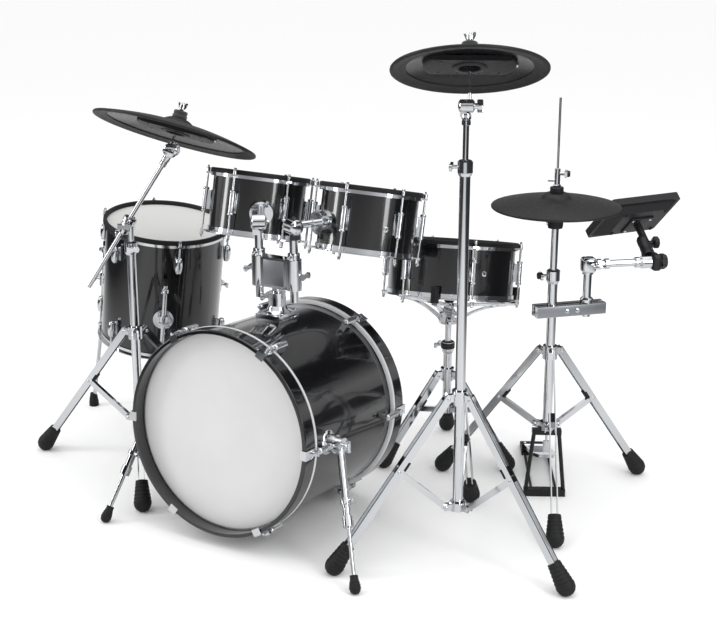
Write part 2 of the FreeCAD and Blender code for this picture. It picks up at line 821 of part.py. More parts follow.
def drum(label, place, shell_d, height, lug_turn, long_lugs, extras):
    """Shell, rubber rim, heads and hardware of one drum. Its own Z axis runs up from the lower shell edge."""
    radius = shell_d / 2
    bore = shell_d - dim.shell_wall * 2
    rod_r = radius + dim.rod_standoff
    node(f"{label}_shell", place, tube(shell_d, bore, height))
    rim_in = radius + dim.part_gap
    rim_out = radius + dim.rim_wall
    round_edge = dim.rim_wall / 3
    node(f"{label}_top_hoop", place, turned([
        (rim_in, height),
        (rim_out, height),
        (rim_out, height + dim.rim_height - round_edge),
        (rim_out - round_edge, height + dim.rim_height, round_edge / 4),
        (rim_in + round_edge, height + dim.rim_height),
        (rim_in, height + dim.rim_height - round_edge, round_edge / 4),
    ]))
    node(f"{label}_heads", place,
         cylinder(shell_d, dim.head_sheet, (0, 0, height)),
         cylinder(shell_d, dim.head_sheet, (0, 0, -dim.head_sheet)))
    lip = dim.ear_sheet * 2
    flange = dim.bottom_hoop_wall + dim.bottom_flange
    flesh_ring = ring(shell_d + dim.flesh_ring_wall * 2, shell_d + dim.part_gap, dim.flesh_ring_height,
                      (0, 0, height - dim.flesh_ring_height))
    lower_hoop = turned([
        (rim_in, -lip),
        (radius + flange, -lip),
        (radius + flange, dim.bottom_hoop_wall - lip),
        (rim_in + dim.bottom_hoop_wall, dim.bottom_hoop_wall - lip),
        (rim_in + dim.bottom_hoop_wall, dim.bottom_hoop_height - lip),
        (rim_in, dim.bottom_hoop_height - lip),
    ])
    tension = []
    for angle in range(0, 360, LUG_STEP):
        pieces = tension_set(heading(number(lug_turn) + angle), radius, rod_r, height, lip, long_lugs)
        tension.append(cut(fuse(*pieces), flesh_ring, lower_hoop))
    trigger_z = height - dim.trigger_drop
    trigger = fuse(
        block(chord(bore, dim.trigger_bar_width), dim.trigger_bar_width, dim.trigger_bar_sheet,
              (0, 0, trigger_z)),
        cylinder(dim.trigger_plate_d, dim.trigger_bar_sheet * 2, (0, 0, trigger_z - dim.trigger_bar_sheet)),
        cone(dim.trigger_cone_d, dim.trigger_cone_d * 0.5, dim.trigger_drop - dim.part_gap,
             (0, 0, trigger_z)),
    )
    node(f"{label}_hardware", place, flesh_ring, lower_hoop, *tension, trigger, *extras)


def tension_set(frame, radius, rod_r, height, lip, long_lugs):
    """A lug with its tension rods, and the hoop ears that the rods pull on."""
    top_ear_z = height - dim.ear_sheet
    ear_length = rod_r - radius + dim.rod_head_d / 2 - dim.bottom_hoop_wall
    ear_x = radius + dim.bottom_hoop_wall + ear_length / 2
    pieces = [
        block(ear_length, dim.ear_width, dim.ear_sheet, (ear_x, 0, top_ear_z), UPRIGHT, frame),
        block(ear_length, dim.ear_width, dim.ear_sheet, (ear_x, 0, -lip), UPRIGHT, frame),
        cylinder(dim.rod_head_d, dim.rod_head_height, (rod_r, 0, height), UPRIGHT, frame),
        cylinder(dim.rod_head_d, dim.rod_head_height, (rod_r, 0, -lip - dim.rod_head_height), UPRIGHT, frame),
    ]
    lug_height = dim.lug_height if long_lugs else dim.lug_short_height
    if long_lugs:
        bottoms = [(height - lug_height) / 2]
        pieces.append(cylinder(dim.rod_d, height + lip, (rod_r, 0, -lip), UPRIGHT, frame))
    else:
        upper = height - dim.lug_inset - lug_height
        bottoms = [dim.lug_inset, upper]
        pieces.append(cylinder(dim.rod_d, dim.lug_inset + lip, (rod_r, 0, -lip), UPRIGHT, frame))
        pieces.append(cylinder(dim.rod_d, dim.lug_inset, (rod_r, 0, height - dim.lug_inset), UPRIGHT, frame))
    for bottom in bottoms:
        pieces.append(cylinder(dim.lug_width, lug_height, (rod_r, 0, bottom), UPRIGHT, frame))
        pieces.append(block(rod_r - radius, dim.lug_width * 0.7, lug_height * 0.8,
                            (radius + (rod_r - radius) / 2, 0, bottom + lug_height * 0.1), UPRIGHT, frame))
    return pieces


# Tom holder and rack toms

def arm_center(side):
    """Where a tom arm's elbow turns, above its barrel in the clamp block."""
    return Vector(holder_point.x + side * number(dim.holder_arm_spread) / 2, holder_point.y,
                  number(bass_hoop_d + dim.holder_elbow_rise))


def tom_post():
    """Post with the double clamp block that holds the two tom arms."""
    center = (holder_point.x, holder_point.y)
    bottom = number(bass_hoop_d + dim.holder_block_rise)
    post_bottom = holder_socket_top - number(dim.holder_socket_height) / 1.6
    post = tube(dim.holder_post_d, dim.holder_post_bore, bottom - post_bottom, (*center, post_bottom))
    body = [block(dim.holder_arm_spread, dim.holder_block_depth, dim.holder_block_height, (*center, bottom))]
    bores = []
    for side in (-1, 1):
        x = arm_center(side).x
        body.append(cylinder(dim.holder_barrel_d, dim.holder_block_height, (x, center[1], bottom)))
        bores.append(cylinder(dim.holder_arm_d + dim.running_gap * 2, dim.holder_block_height,
                              (x, center[1], bottom)))
        bolt_z = bottom + number(dim.holder_block_height) / 2
        body.append(wing_bolt((x, center[1], bolt_z), dim.holder_barrel_d / 2 - dim.stand_tube_wall,
                              90 - side * 90))
    node("tom_post", Placement(), post, cut(fuse(*body), *bores))


def tom_place(x, y, z):
    """A rack tom's frame: its given point is the middle of the shell, and it tilts towards the drummer."""
    turn = Rotation(Vector(1, 0, 0), -number(dim.tom_tilt))
    middle = Vector(number(x), number(y), number(z))
    return Placement(middle - turn.multVec(Vector(0, 0, number(dim.tom_shell_height) / 2)), turn)


tom_places = {
    "left": tom_place(dim.tom_left_x, dim.tom_left_y, bass_hoop_d + dim.tom_left_rise),
    "right": tom_place(dim.tom_right_x, dim.tom_right_y, bass_hoop_d + dim.tom_right_rise),
}


def stub_direction(name, side):
    """The level direction from a tom arm's elbow to the drum that it carries."""
    place = tom_places[name]
    middle = place.multVec(Vector(0, 0, number(dim.tom_shell_height) / 2))
    run = middle - arm_center(side)
    return Vector(run.x, run.y, 0).normalize()


def rack_tom(name, side):
    """One rack tom with the arm that holds it. The elbow's discs turn on a level pin."""
    center = arm_center(side)
    run = stub_direction(name, side)
    axis = Vector(0, 0, 1).cross(run) * side
    arm, moving, hole = knuckle_post(dim.holder_arm_d, bass_hoop_d + dim.holder_arm_rise, center, axis,
                                     dim.elbow_d, dim.elbow_depth, dim.elbow_pin_d)
    node(f"tom_arm_{name}", Placement(), arm)

    place = tom_places[name]
    home = place.inverse()
    start = center + axis * (number(dim.elbow_depth + dim.part_gap) / 2)
    middle = place.multVec(Vector(0, 0, number(dim.tom_shell_height) / 2))
    reach = math.hypot(middle.x - start.x, middle.y - start.y) - number(dim.tom_shell_d) / 2
    seat_start = start + run * (reach - number(dim.tom_bracket_depth))
    lug = bar_level(start, run, dim.elbow_depth, dim.elbow_d * 0.5, number(dim.elbow_d) * 0.62)
    stub_start = start + run * number(dim.elbow_d) * 0.56
    stub = rod(stub_start, seat_start + run * number(dim.tom_stub_bite), dim.tom_stub_d)
    boss = cylinder(dim.tom_bracket_d, dim.tom_bracket_depth * 2, tuple(seat_start), toward(run))
    shell = cylinder(dim.tom_shell_d, dim.tom_shell_height * 2, (0, 0, -dim.tom_shell_height / 2), UPRIGHT,
                     place)
    bracket = cut(fuse(moving, lug, stub, boss), hole, shell)
    bracket.Placement = home
    lug_turn = math.degrees(math.atan2(run.y, run.x)) + LUG_STEP / 2
    drum(f"tom_{name}", place, dim.tom_shell_d, dim.tom_shell_height, lug_turn, True, [bracket])


def bar_upright(base, axis, depth, width, height):
    """A block that stands on a point, with its depth along a level axis."""
    angle = math.degrees(math.atan2(axis.y, axis.x))
    return block(depth, width, height, tuple(base), Rotation(Vector(0, 0, 1), angle))


def bar_level(start, run, width, height, length):
    """A block that runs level from a point along a direction."""
    angle = math.degrees(math.atan2(run.y, run.x))
    turn = Rotation(Vector(0, 0, 1), angle).multiply(ALONG_X)
    return block(height, width, length, tuple(start), turn)


# Floor tom

floor_axis = lean(dim.floor_tom_lean, dim.floor_tom_lean_heading)
floor_place = Placement(Vector(number(dim.floor_tom_x), number(dim.floor_tom_y), number(dim.floor_tom_z)),
                        toward(floor_axis))
floor_leg_r = dim.floor_tom_shell_d / 2 + dim.floor_leg_standoff
floor_leg_angles = thirds(dim.floor_leg_heading)


def floor_tom():
    """Floor tom with its three leg brackets. The drum slides up and down on its legs."""
    extras = []
    radius = dim.floor_tom_shell_d / 2
    for angle in floor_leg_angles:
        frame = heading(angle)
        z = dim.floor_bracket_height
        sleeve_d = dim.floor_leg_d * 2
        sleeve_z = z - dim.floor_bracket_d * 0.3
        disc = cylinder(dim.floor_bracket_d, dim.floor_bracket_depth, (radius, 0, z), ALONG_X, frame)
        sleeve = cylinder(sleeve_d, dim.floor_bracket_d * 0.6, (floor_leg_r, 0, sleeve_z), UPRIGHT, frame)
        web = block(dim.floor_leg_standoff, sleeve_d * 0.8, dim.floor_bracket_d * 0.6,
                    (radius + dim.floor_leg_standoff / 2, 0, sleeve_z), UPRIGHT, frame)
        bore = cylinder(dim.floor_leg_d + dim.running_gap * 2, dim.floor_bracket_d,
                        (floor_leg_r, 0, z - dim.floor_bracket_d / 2), UPRIGHT, frame)
        spot = frame.multVec(Vector(number(floor_leg_r), 0, number(z)))
        bolt = wing_bolt(tuple(spot), sleeve_d / 2 - dim.stand_tube_wall, angle)
        extras.append(cut(fuse(disc, sleeve, web, bolt), bore))
    drum("floor_tom", floor_place, dim.floor_tom_shell_d, dim.floor_tom_shell_height,
         dim.floor_tom_lug_turn, False, extras)


def floor_legs():
    """Three cranked legs, their rubber feet and the caps on their upper ends."""
    legs = []
    rubber = []
    for angle in floor_leg_angles:
        line = spin(number(floor_leg_r), angle)
        top = floor_place.multVec(line + Vector(0, 0, number(dim.floor_leg_top)))
        knee = floor_place.multVec(line - Vector(0, 0, number(dim.floor_leg_bend)))
        spread = spin(number(dim.floor_leg_foot_spread), angle)
        foot = Vector(number(dim.floor_tom_x) + spread.x, number(dim.floor_tom_y) + spread.y, 0)
        end = foot + Vector(0, 0, number(dim.floor_foot_d) * 0.4)
        legs.append(fuse(rod(knee, top, dim.floor_leg_d), ball(dim.floor_leg_d, tuple(knee)),
                         rod(end, knee, dim.floor_leg_d)))
        boot = turned([
            (0, 0),
            (dim.floor_foot_d / 2, 0),
            (dim.floor_foot_d / 2, dim.floor_foot_height / 3),
            (dim.floor_leg_d * 0.8, dim.floor_foot_height),
            (0, dim.floor_foot_height),
        ], tuple(foot))
        rubber.append(cut(boot, rod(end, knee, dim.floor_leg_d)))
        up = (top - knee).normalize()
        rubber.append(cylinder(dim.floor_leg_d * 1.2, dim.floor_leg_d, tuple(top), toward(up)))
    node("floor_tom_legs", Placement(), *legs)
    return rubber


# Double-braced tripods

class Tripod:
    """A tube on three double-strip legs, each tied to a hub at the foot of the tube by a brace."""

    def __init__(self, x, y, tube_d, collar_z, hub_z, foot_radius, foot_heading, seat):
        self.center = Vector(number(x), number(y), 0)
        self.tube_d = tube_d
        self.collar_z = collar_z
        self.hub_z = hub_z
        self.pivot_r = tube_d / 2 + dim.collar_ear_reach
        self.headings = thirds(foot_heading)
        self.pivot = Vector(number(self.pivot_r), 0, number(collar_z))
        self.root = Vector(number(self.pivot_r), 0, number(hub_z))
        self.end = Vector(number(foot_radius) - number(dim.boot_d) / 4, 0, number(dim.boot_end_z))
        self.run = (self.end - self.pivot).normalize()
        self.seat = self.pivot + self.run * number(seat)

    def place(self):
        return Placement(self.center, Rotation())

    def frame(self, angle):
        return heading(angle, tuple(self.center))

    def collar(self):
        """The ring that the legs hang from, with an ear and a pin for each leg."""
        outer_d = self.tube_d + dim.collar_wall * 2
        bottom = self.collar_z - dim.collar_height / 2
        pieces = [ring(outer_d, self.tube_d + dim.running_gap * 2, dim.collar_height, (0, 0, bottom))]
        for angle in self.headings:
            frame = heading(angle)
            ear_start = self.tube_d / 2 + dim.collar_wall / 2
            ear_length = self.pivot_r + dim.tripod_pin_d - ear_start
            pieces.append(block(ear_length, dim.strip_gap - dim.part_gap * 2, dim.strip_height,
                                (ear_start + ear_length / 2, 0, self.collar_z - dim.strip_height / 2),
                                UPRIGHT, frame))
            pieces.append(self.pin(self.pivot, frame))
        return fuse(*pieces)

    def pin(self, point, frame):
        length = dim.strip_gap + dim.strip_sheet * 2 + dim.tripod_pin_d / 2
        return cylinder(dim.tripod_pin_d, length, (point.x, -length / 2, point.z), ALONG_Y, frame)

    def pin_hole(self, point):
        return cylinder(dim.tripod_pin_d + dim.running_gap * 2, dim.strip_gap * 4,
                        (point.x, -dim.strip_gap * 2, point.z), ALONG_Y)

    def hub(self):
        """The block at the foot of the tube, with two cheeks for each brace."""
        outer_d = self.tube_d + dim.collar_wall * 2
        bottom = self.hub_z - dim.hub_height / 2
        pieces = [ring(outer_d, self.tube_d, dim.hub_height, (0, 0, bottom))]
        for angle in self.headings:
            frame = heading(angle)
            start = self.tube_d / 2 + dim.collar_wall / 2
            length = self.pivot_r + dim.tripod_pin_d - start
            for side in (-1, 1):
                offset = (dim.strip_gap + dim.strip_sheet) / 2 * side
                pieces.append(block(length, dim.strip_sheet, dim.brace_height,
                                    (start + length / 2, offset, self.hub_z - dim.brace_height / 2),
                                    UPRIGHT, frame))
            pieces.append(self.pin(self.root, frame))
        return fuse(*pieces)

    def leg(self):
        """Two flat strips side by side, joined where they enter the rubber foot."""
        strips = []
        top = self.pivot - self.run * (number(dim.strip_height) / 2)
        for side in (-1, 1):
            offset = Vector(0, side * number(dim.strip_gap + dim.strip_sheet) / 2, 0)
            strips.append(bar(top + offset, self.end + offset, dim.strip_sheet, dim.strip_height))
        joint = bar(self.end - self.run * number(dim.boot_bite), self.end, dim.strip_gap, dim.strip_height)
        return cut(fuse(*strips, joint), self.pin_hole(self.pivot))

    def brace(self):
        """The flat bar between the hub and the leg. Its outer end lies between the leg's strips."""
        run = (self.seat - self.root).normalize()
        start = self.root - run * (number(dim.brace_height) / 2)
        end = self.seat + run * (number(dim.brace_height) / 2)
        flat = bar(start, end, dim.strip_gap - dim.part_gap * 2, dim.brace_height)
        return cut(flat, self.pin_hole(self.root))

    def boot(self):
        """The rubber foot, flat where it stands and open for the leg's end."""
        back = self.run * -1
        tail = dim.boot_d / 2
        neck = dim.boot_length - tail
        body = turned([
            (0, -tail),
            (tail, 0, -tail * QUARTER_RISE),
            (dim.boot_neck_d / 2, neck),
            (0, neck),
        ], tuple(self.end), toward(back))
        floor = block(dim.boot_length * 4, dim.boot_length * 2, dim.boot_length,
                      (self.end.x, 0, -dim.boot_length))
        socket = bar(self.end, self.end - self.run * number(dim.boot_length),
                     dim.strip_gap + dim.strip_sheet * 2, dim.strip_height)
        return cut(body, floor, socket)

    def turned_copies(self, make, spot=True):
        """One copy of a leg piece for each heading."""
        copies = []
        for angle in self.headings:
            piece = group(make())
            piece.Placement = self.frame(angle) if spot else heading(angle)
            copies.append(piece)
        return copies

    def tube(self, bottom, top):
        return tube(self.tube_d, self.tube_d - dim.stand_tube_wall * 2, top - bottom, (0, 0, bottom))


# Cymbal seats and pads

seat_height = math.sqrt((number(dim.seat_ball_d) / 2 + number(dim.part_gap)) ** 2
                        - (number(dim.seat_hole_d) / 2) ** 2)


def cymbal(label, place, diameter):
    """A bowed pad with a bell, its sensor tray underneath and the cup that the wing nut holds down."""
    hole_r = dim.seat_hole_d / 2
    bell_r = dim.cymbal_bell_d / 2
    under_bell = seat_height - dim.cymbal_bell_rise
    rim_z = under_bell - dim.cymbal_bow
    bow = dim.cymbal_bow / 6
    bell_bow = dim.cymbal_bell_rise / 4
    pad = bowed([
        (hole_r, seat_height + dim.cymbal_edge),
        (hole_r, seat_height),
        (bell_r, under_bell, bell_bow),
        (diameter / 2 - dim.cymbal_edge / 2, rim_z, bow),
        (diameter / 2, rim_z + dim.cymbal_edge / 2, -dim.cymbal_edge / 6),
        (diameter / 2 - dim.cymbal_edge / 2, rim_z + dim.cymbal_edge, -dim.cymbal_edge / 6),
        (bell_r, under_bell + dim.cymbal_edge, -bow),
    ])
    tray_top = under_bell - dim.cymbal_bow / 12
    tray = ring(dim.cymbal_tray_d, dim.seat_ball_d * 1.6, dim.cymbal_tray_depth,
                (0, 0, tray_top - dim.cymbal_tray_depth))
    width = dim.cymbal_tray_d * 0.36
    sides = [block(width, dim.cymbal_tray_d, dim.cymbal_tray_depth * 2,
                   (side * dim.cymbal_tray_d * 0.5, 0, tray_top - dim.cymbal_tray_depth * 1.5))
             for side in (-1, 1)]
    cup = ring(dim.cymbal_cup_d, dim.seat_hole_d, dim.cymbal_cup_height,
               (0, 0, seat_height + dim.cymbal_edge))
    node(label, place, pad, cut(tray, *sides, pad), cup)


def cymbal_seat(center, stem_length, up, moving, hole):
    """Tilter disc with the stem, felt ball and wing nut that carry a cymbal."""
    top = number(dim.cymbal_edge + dim.cymbal_cup_height) + seat_height + number(dim.wing_height) * 1.3
    seat = center + up * number(stem_length)
    clear = number(dim.tilter_pin_d)
    stem = rod(center + up * clear, seat + up * top, dim.stem_d)
    nut = wing_nut(seat + up * (top - number(dim.wing_height)), up)
    return cut(fuse(moving, stem, ball(dim.seat_ball_d, tuple(seat)), nut), hole), Placement(seat, toward(up))


def wing_nut(base, up):
    frame = Placement(base, toward(up))
    barrel = cylinder(dim.stem_d * 2, dim.wing_height * 0.6, (0, 0, 0), UPRIGHT, frame)
    half = dim.wing_width / 2
    wings = plate([
        (-half, dim.wing_height),
        (-dim.stem_d, 0),
        (dim.stem_d, 0),
        (half, dim.wing_height, -dim.stem_d / 4),
        (half * 0.7, dim.wing_height),
        (dim.stem_d * 0.8, dim.wing_height * 0.5),
        (-dim.stem_d * 0.8, dim.wing_height * 0.5),
        (-half * 0.7, dim.wing_height),
    ], dim.wing_sheet * 0.6, (0, dim.wing_sheet * 0.3, 0), Rotation(Vector(1, 0, 0), 90), frame)
    return fuse(barrel, wings)


# Crash cymbal stand

def crash_stand():
    """Straight stand with a tripod that folds: collar, legs and braces move on pins."""
    stand = Tripod(dim.crash_x, dim.crash_y, dim.crash_tube_d, dim.crash_collar_z, dim.crash_hub_z,
                   dim.crash_foot_radius, dim.crash_foot_heading, dim.crash_brace_seat)
    place = stand.place()
    bottom = dim.crash_hub_z - dim.hub_height / 2
    inner_bore = dim.crash_inner_tube_d + dim.running_gap * 2
    node("crash_base_tube", place, stand.tube(bottom, dim.crash_tube_top), stand.hub(),
         tube_clamp(dim.crash_tube_d, dim.crash_tube_top, dim.crash_clamp_heading, inner_bore))
    node("crash_leg_collar", place, stand.collar())
    for index, angle in enumerate(stand.headings, start=1):
        node(f"crash_leg_{index}", stand.frame(angle), stand.leg(), stand.boot())
        node(f"crash_brace_{index}", stand.frame(angle), stand.brace())
    center = Vector(0, 0, number(dim.crash_tilter_z))
    axis = spin(1, number(dim.crash_lean_heading) - 90)
    upper, moving, hole = knuckle_post(dim.crash_inner_tube_d, dim.crash_inner_bottom, center, axis,
                                       dim.tilter_d, dim.tilter_depth, dim.tilter_pin_d)
    node("crash_upper_tube", place, upper)
    up = lean(dim.crash_lean, dim.crash_lean_heading)
    disc_middle = center + axis * (number(dim.tilter_depth + dim.part_gap) / 2)
    tilter, seat = cymbal_seat(disc_middle, dim.crash_stem, up, moving, hole)
    node("crash_tilter", place, tilter)
    cymbal("crash_cymbal", place.multiply(seat), dim.crash_d)


# Ride cymbal boom stand

def ride_stand():
    """Boom stand: the boom slides in a clamp that tilts on top of the upper tube."""
    stand = Tripod(dim.ride_x, dim.ride_y, dim.ride_tube_d, dim.ride_collar_z, dim.ride_hub_z,
                   dim.ride_foot_radius, dim.ride_foot_heading, dim.ride_brace_seat)
    place = stand.place()
    bottom = dim.ride_hub_z - dim.hub_height / 2
    inner_bore = dim.ride_inner_tube_d + dim.running_gap * 2
    node("ride_stand_base", place, stand.tube(bottom, dim.ride_tube_top), stand.hub(), stand.collar(),
         tube_clamp(dim.ride_tube_d, dim.ride_tube_top, dim.ride_clamp_heading, inner_bore),
         *stand.turned_copies(stand.leg, False), *stand.turned_copies(stand.brace, False))
    center = Vector(0, 0, number(dim.ride_boom_z))
    axis = spin(1, number(dim.ride_boom_heading) - 90)
    upper, moving, hole = knuckle_post(dim.ride_inner_tube_d, dim.ride_inner_bottom, center, axis,
                                       dim.tilter_d, dim.tilter_depth, dim.tilter_pin_d)
    node("ride_upper_tube", place, upper)

    along = lean(90 - number(dim.ride_boom_rise), dim.ride_boom_heading)
    barrel_d = dim.ride_boom_d * 2
    offset = axis * number(dim.part_gap / 2 + dim.tilter_depth + dim.tilter_pin_d / 2 + barrel_d / 2)
    half = number(barrel_d) * 0.85
    line = center + offset
    barrel = rod(line - along * half, line + along * half, barrel_d)
    cheek = cylinder(dim.tilter_d, offset.Length - number(dim.part_gap),
                     tuple(center + axis * number(dim.part_gap / 2)), toward(axis))
    boom_hole = rod(line - along * half * 2, line + along * half * 2, dim.ride_boom_d + dim.running_gap * 2)
    bolt = wing_bolt(tuple(line), barrel_d / 2 - dim.stand_tube_wall, number(dim.ride_boom_heading) - 90)
    node("ride_boom_clamp", place, cut(fuse(moving, cheek, barrel, bolt), hole, boom_hole))

    tip = line + along * number(dim.ride_boom_reach)
    tail = line - along * number(dim.ride_boom_tail)
    fixed, turning, tip_hole = knuckle(dim.tilter_d, dim.tilter_depth, dim.tilter_pin_d, tip, axis)
    side = axis * (number(dim.tilter_depth + dim.part_gap) / 2)
    boom_end = tip - along * (number(dim.tilter_d) / 2 + number(dim.part_gap))
    neck = bar(tip - side - along * number(dim.tilter_d) * 0.8, tip - side, dim.tilter_depth, dim.ride_boom_d)
    node("ride_boom", place, fuse(fixed, neck, rod(tail, boom_end, dim.ride_boom_d)))
    up = lean(dim.ride_lean, dim.ride_lean_heading)
    outer = axis * (number(dim.tilter_depth - dim.stem_d) / 2)
    tilter, seat = cymbal_seat(tip + side + outer, dim.ride_stem, up, turning, tip_hole)
    node("ride_tilter", place, tilter)
    cymbal("ride_cymbal", place.multiply(seat), dim.ride_d)
    return stand.turned_copies(stand.boot)


# Snare drum on its basket stand

def snare_stand():
    """Low stand with a tilting basket, whose three arms hold the snare drum by its lower hoop."""
    stand = Tripod(dim.snare_x, dim.snare_y, dim.snare_tube_d, dim.snare_collar_z, dim.snare_hub_z,
                   dim.snare_foot_radius, dim.snare_foot_heading, dim.snare_brace_seat)
    place = stand.place()
    bottom = dim.snare_hub_z - dim.hub_height / 2
    inner_bore = dim.snare_inner_tube_d + dim.running_gap * 2
    node("snare_stand_base", place, stand.tube(bottom, dim.snare_tube_top), stand.hub(), stand.collar(),
         tube_clamp(dim.snare_tube_d, dim.snare_tube_top, dim.snare_clamp_heading, inner_bore),
         *stand.turned_copies(stand.leg, False), *stand.turned_copies(stand.brace, False))
    pivot = Vector(0, 0, number(dim.snare_pivot_z))
    axis = spin(1, number(dim.snare_tilt_heading) - 90)
    upper, moving, hole = knuckle_post(dim.snare_inner_tube_d, dim.snare_inner_bottom, pivot, axis,
                                       dim.tilter_d, dim.tilter_depth, dim.tilter_pin_d)
    node("snare_upper_tube", place, upper)

    up = lean(dim.snare_tilt, dim.snare_tilt_heading)
    tilted = Placement(pivot, toward(up))
    lip = dim.ear_sheet * 2
    hoop_r = dim.snare_shell_d / 2 + dim.bottom_hoop_wall + dim.bottom_flange
    grip_r = hoop_r + dim.basket_grip_d / 2 + dim.part_gap
    grip_z = dim.snare_bottom_rise - lip - dim.rod_head_height - dim.part_gap
    low = dim.tilter_d / 2
    hub = cut(fuse(moving, cylinder(dim.tilter_d, dim.tilter_depth, (0, 0, low), UPRIGHT, tilted),
                   bar_level_piece(axis, pivot, low)), hole)
    arms = []
    grips = []
    for angle in thirds(dim.basket_heading):
        frame = tilted.multiply(heading(angle))
        start = frame.multVec(Vector(0, 0, number(low + dim.tilter_depth / 2)))
        end = frame.multVec(Vector(number(grip_r), 0, number(grip_z - dim.basket_arm_sheet / 2)))
        arm = bar(start, end, dim.basket_arm_width, dim.basket_arm_sheet)
        grip = cylinder(dim.basket_grip_d, dim.basket_grip_height, (grip_r, 0, grip_z), UPRIGHT, frame)
        arms.append(cut(arm, hub))
        grips.append(cut(grip, arm))
    node("snare_basket", place, hub, *arms, *grips)
    drum_place = place.multiply(tilted).multiply(
        Placement(Vector(0, 0, number(dim.snare_bottom_rise)), Rotation()))
    drum("snare", drum_place, dim.snare_shell_d, dim.snare_shell_height, dim.snare_lug_turn, True, [])
    return stand.turned_copies(stand.boot)


def bar_level_piece(axis, pivot, low):
    """The short neck between the basket's hub and its tilting disc."""
    side = axis * (number(dim.tilter_depth + dim.part_gap) / 2)
    return bar_upright(pivot + side, axis, dim.tilter_depth, dim.tilter_depth, low + dim.tilter_depth / 2)


# Hi-hat stand, pedal and pad

def hihat_stand():
    """Hi-hat stand with its pedal, pull rod, clutch, pad and controller, and the clamp for the module arm."""
    stand = Tripod(dim.hihat_x, dim.hihat_y, dim.hihat_tube_d, dim.hihat_collar_z, dim.hihat_hub_z,
                   dim.hihat_foot_radius, dim.hihat_foot_heading, dim.hihat_brace_seat)
    place = stand.place()
    bottom = dim.hihat_hub_z - dim.hub_height / 2
    inner_bore = dim.hihat_inner_tube_d + dim.running_gap * 2
    rod_hole = dim.hihat_rod_d + dim.running_gap * 2
    node("hihat_stand_base", place, stand.tube(bottom, dim.hihat_tube_top), stand.hub(), stand.collar(),
         tube_clamp(dim.hihat_tube_d, dim.hihat_tube_top, dim.hihat_clamp_heading, inner_bore), multi_clamp(),
         *stand.turned_copies(stand.leg, False), *stand.turned_copies(stand.brace, False))
    node("hihat_upper_tube", place,
         tube(dim.hihat_inner_tube_d, dim.hihat_inner_tube_d - dim.stand_tube_wall * 2,
              dim.hihat_controller_z - dim.hihat_inner_bottom, (0, 0, dim.hihat_inner_bottom)))
    pad_hub_bottom = dim.hihat_pad_z + dim.part_gap
    ring_top = pad_hub_bottom - dim.hihat_travel - dim.part_gap
    node("hihat_controller", place, turned([
        (rod_hole / 2, 0),
        (dim.hihat_inner_tube_d, 0),
        (dim.hihat_inner_tube_d, (ring_top - dim.hihat_controller_z) * 0.6),
        (dim.hihat_controller_d / 2, (ring_top - dim.hihat_controller_z) * 0.75),
        (dim.hihat_controller_d / 2, ring_top - dim.hihat_controller_z),
        (rod_hole / 2, ring_top - dim.hihat_controller_z),
    ], (0, 0, dim.hihat_controller_z)))
    edge = dim.cymbal_edge
    bell_r = dim.hihat_pad_bell_d / 2
    crown = dim.hihat_pad_bow + dim.hihat_pad_bell_rise
    pad = bowed([
        (rod_hole / 2 + dim.part_gap, crown + edge),
        (rod_hole / 2 + dim.part_gap, dim.part_gap),
        (dim.hihat_controller_d * 0.6, dim.part_gap),
        (dim.hihat_controller_d * 0.6, dim.hihat_pad_bow * 0.8),
        (dim.hihat_pad_d / 2 - edge / 2, 0, dim.hihat_pad_bow / 6),
        (dim.hihat_pad_d / 2, edge / 2, -edge / 6),
        (dim.hihat_pad_d / 2 - edge / 2, edge, -edge / 6),
        (bell_r, dim.hihat_pad_bow + edge, -dim.hihat_pad_bow / 6),
        (bell_r * 0.6, crown + edge, -dim.hihat_pad_bell_rise / 5),
    ], (0, 0, dim.hihat_pad_z))
    node("hihat_pad", place, pad)
    clutch_z = dim.hihat_pad_z + crown + edge
    cup_height = dim.cymbal_cup_height * 0.7
    clutch = fuse(
        cylinder(dim.cymbal_cup_d * 0.8, cup_height, (0, 0, clutch_z)),
        cylinder(dim.clutch_d, dim.clutch_height, (0, 0, clutch_z)),
        wing_bolt((0, 0, clutch_z + dim.clutch_height * 0.8), dim.clutch_d / 2 - dim.stand_tube_wall,
                  dim.clutch_bolt_heading),
        cylinder(dim.wing_stem_d * 0.7, dim.clutch_d * 1.6, (0, 0, clutch_z + dim.clutch_height * 0.5),
                 ALONG_X, heading(dim.clutch_bolt_heading + 180)),
    )
    node("hihat_clutch", place, cut(clutch, cylinder(rod_hole, dim.clutch_height, (0, 0, clutch_z))))
    pedal(place)
    return stand.turned_copies(stand.boot)


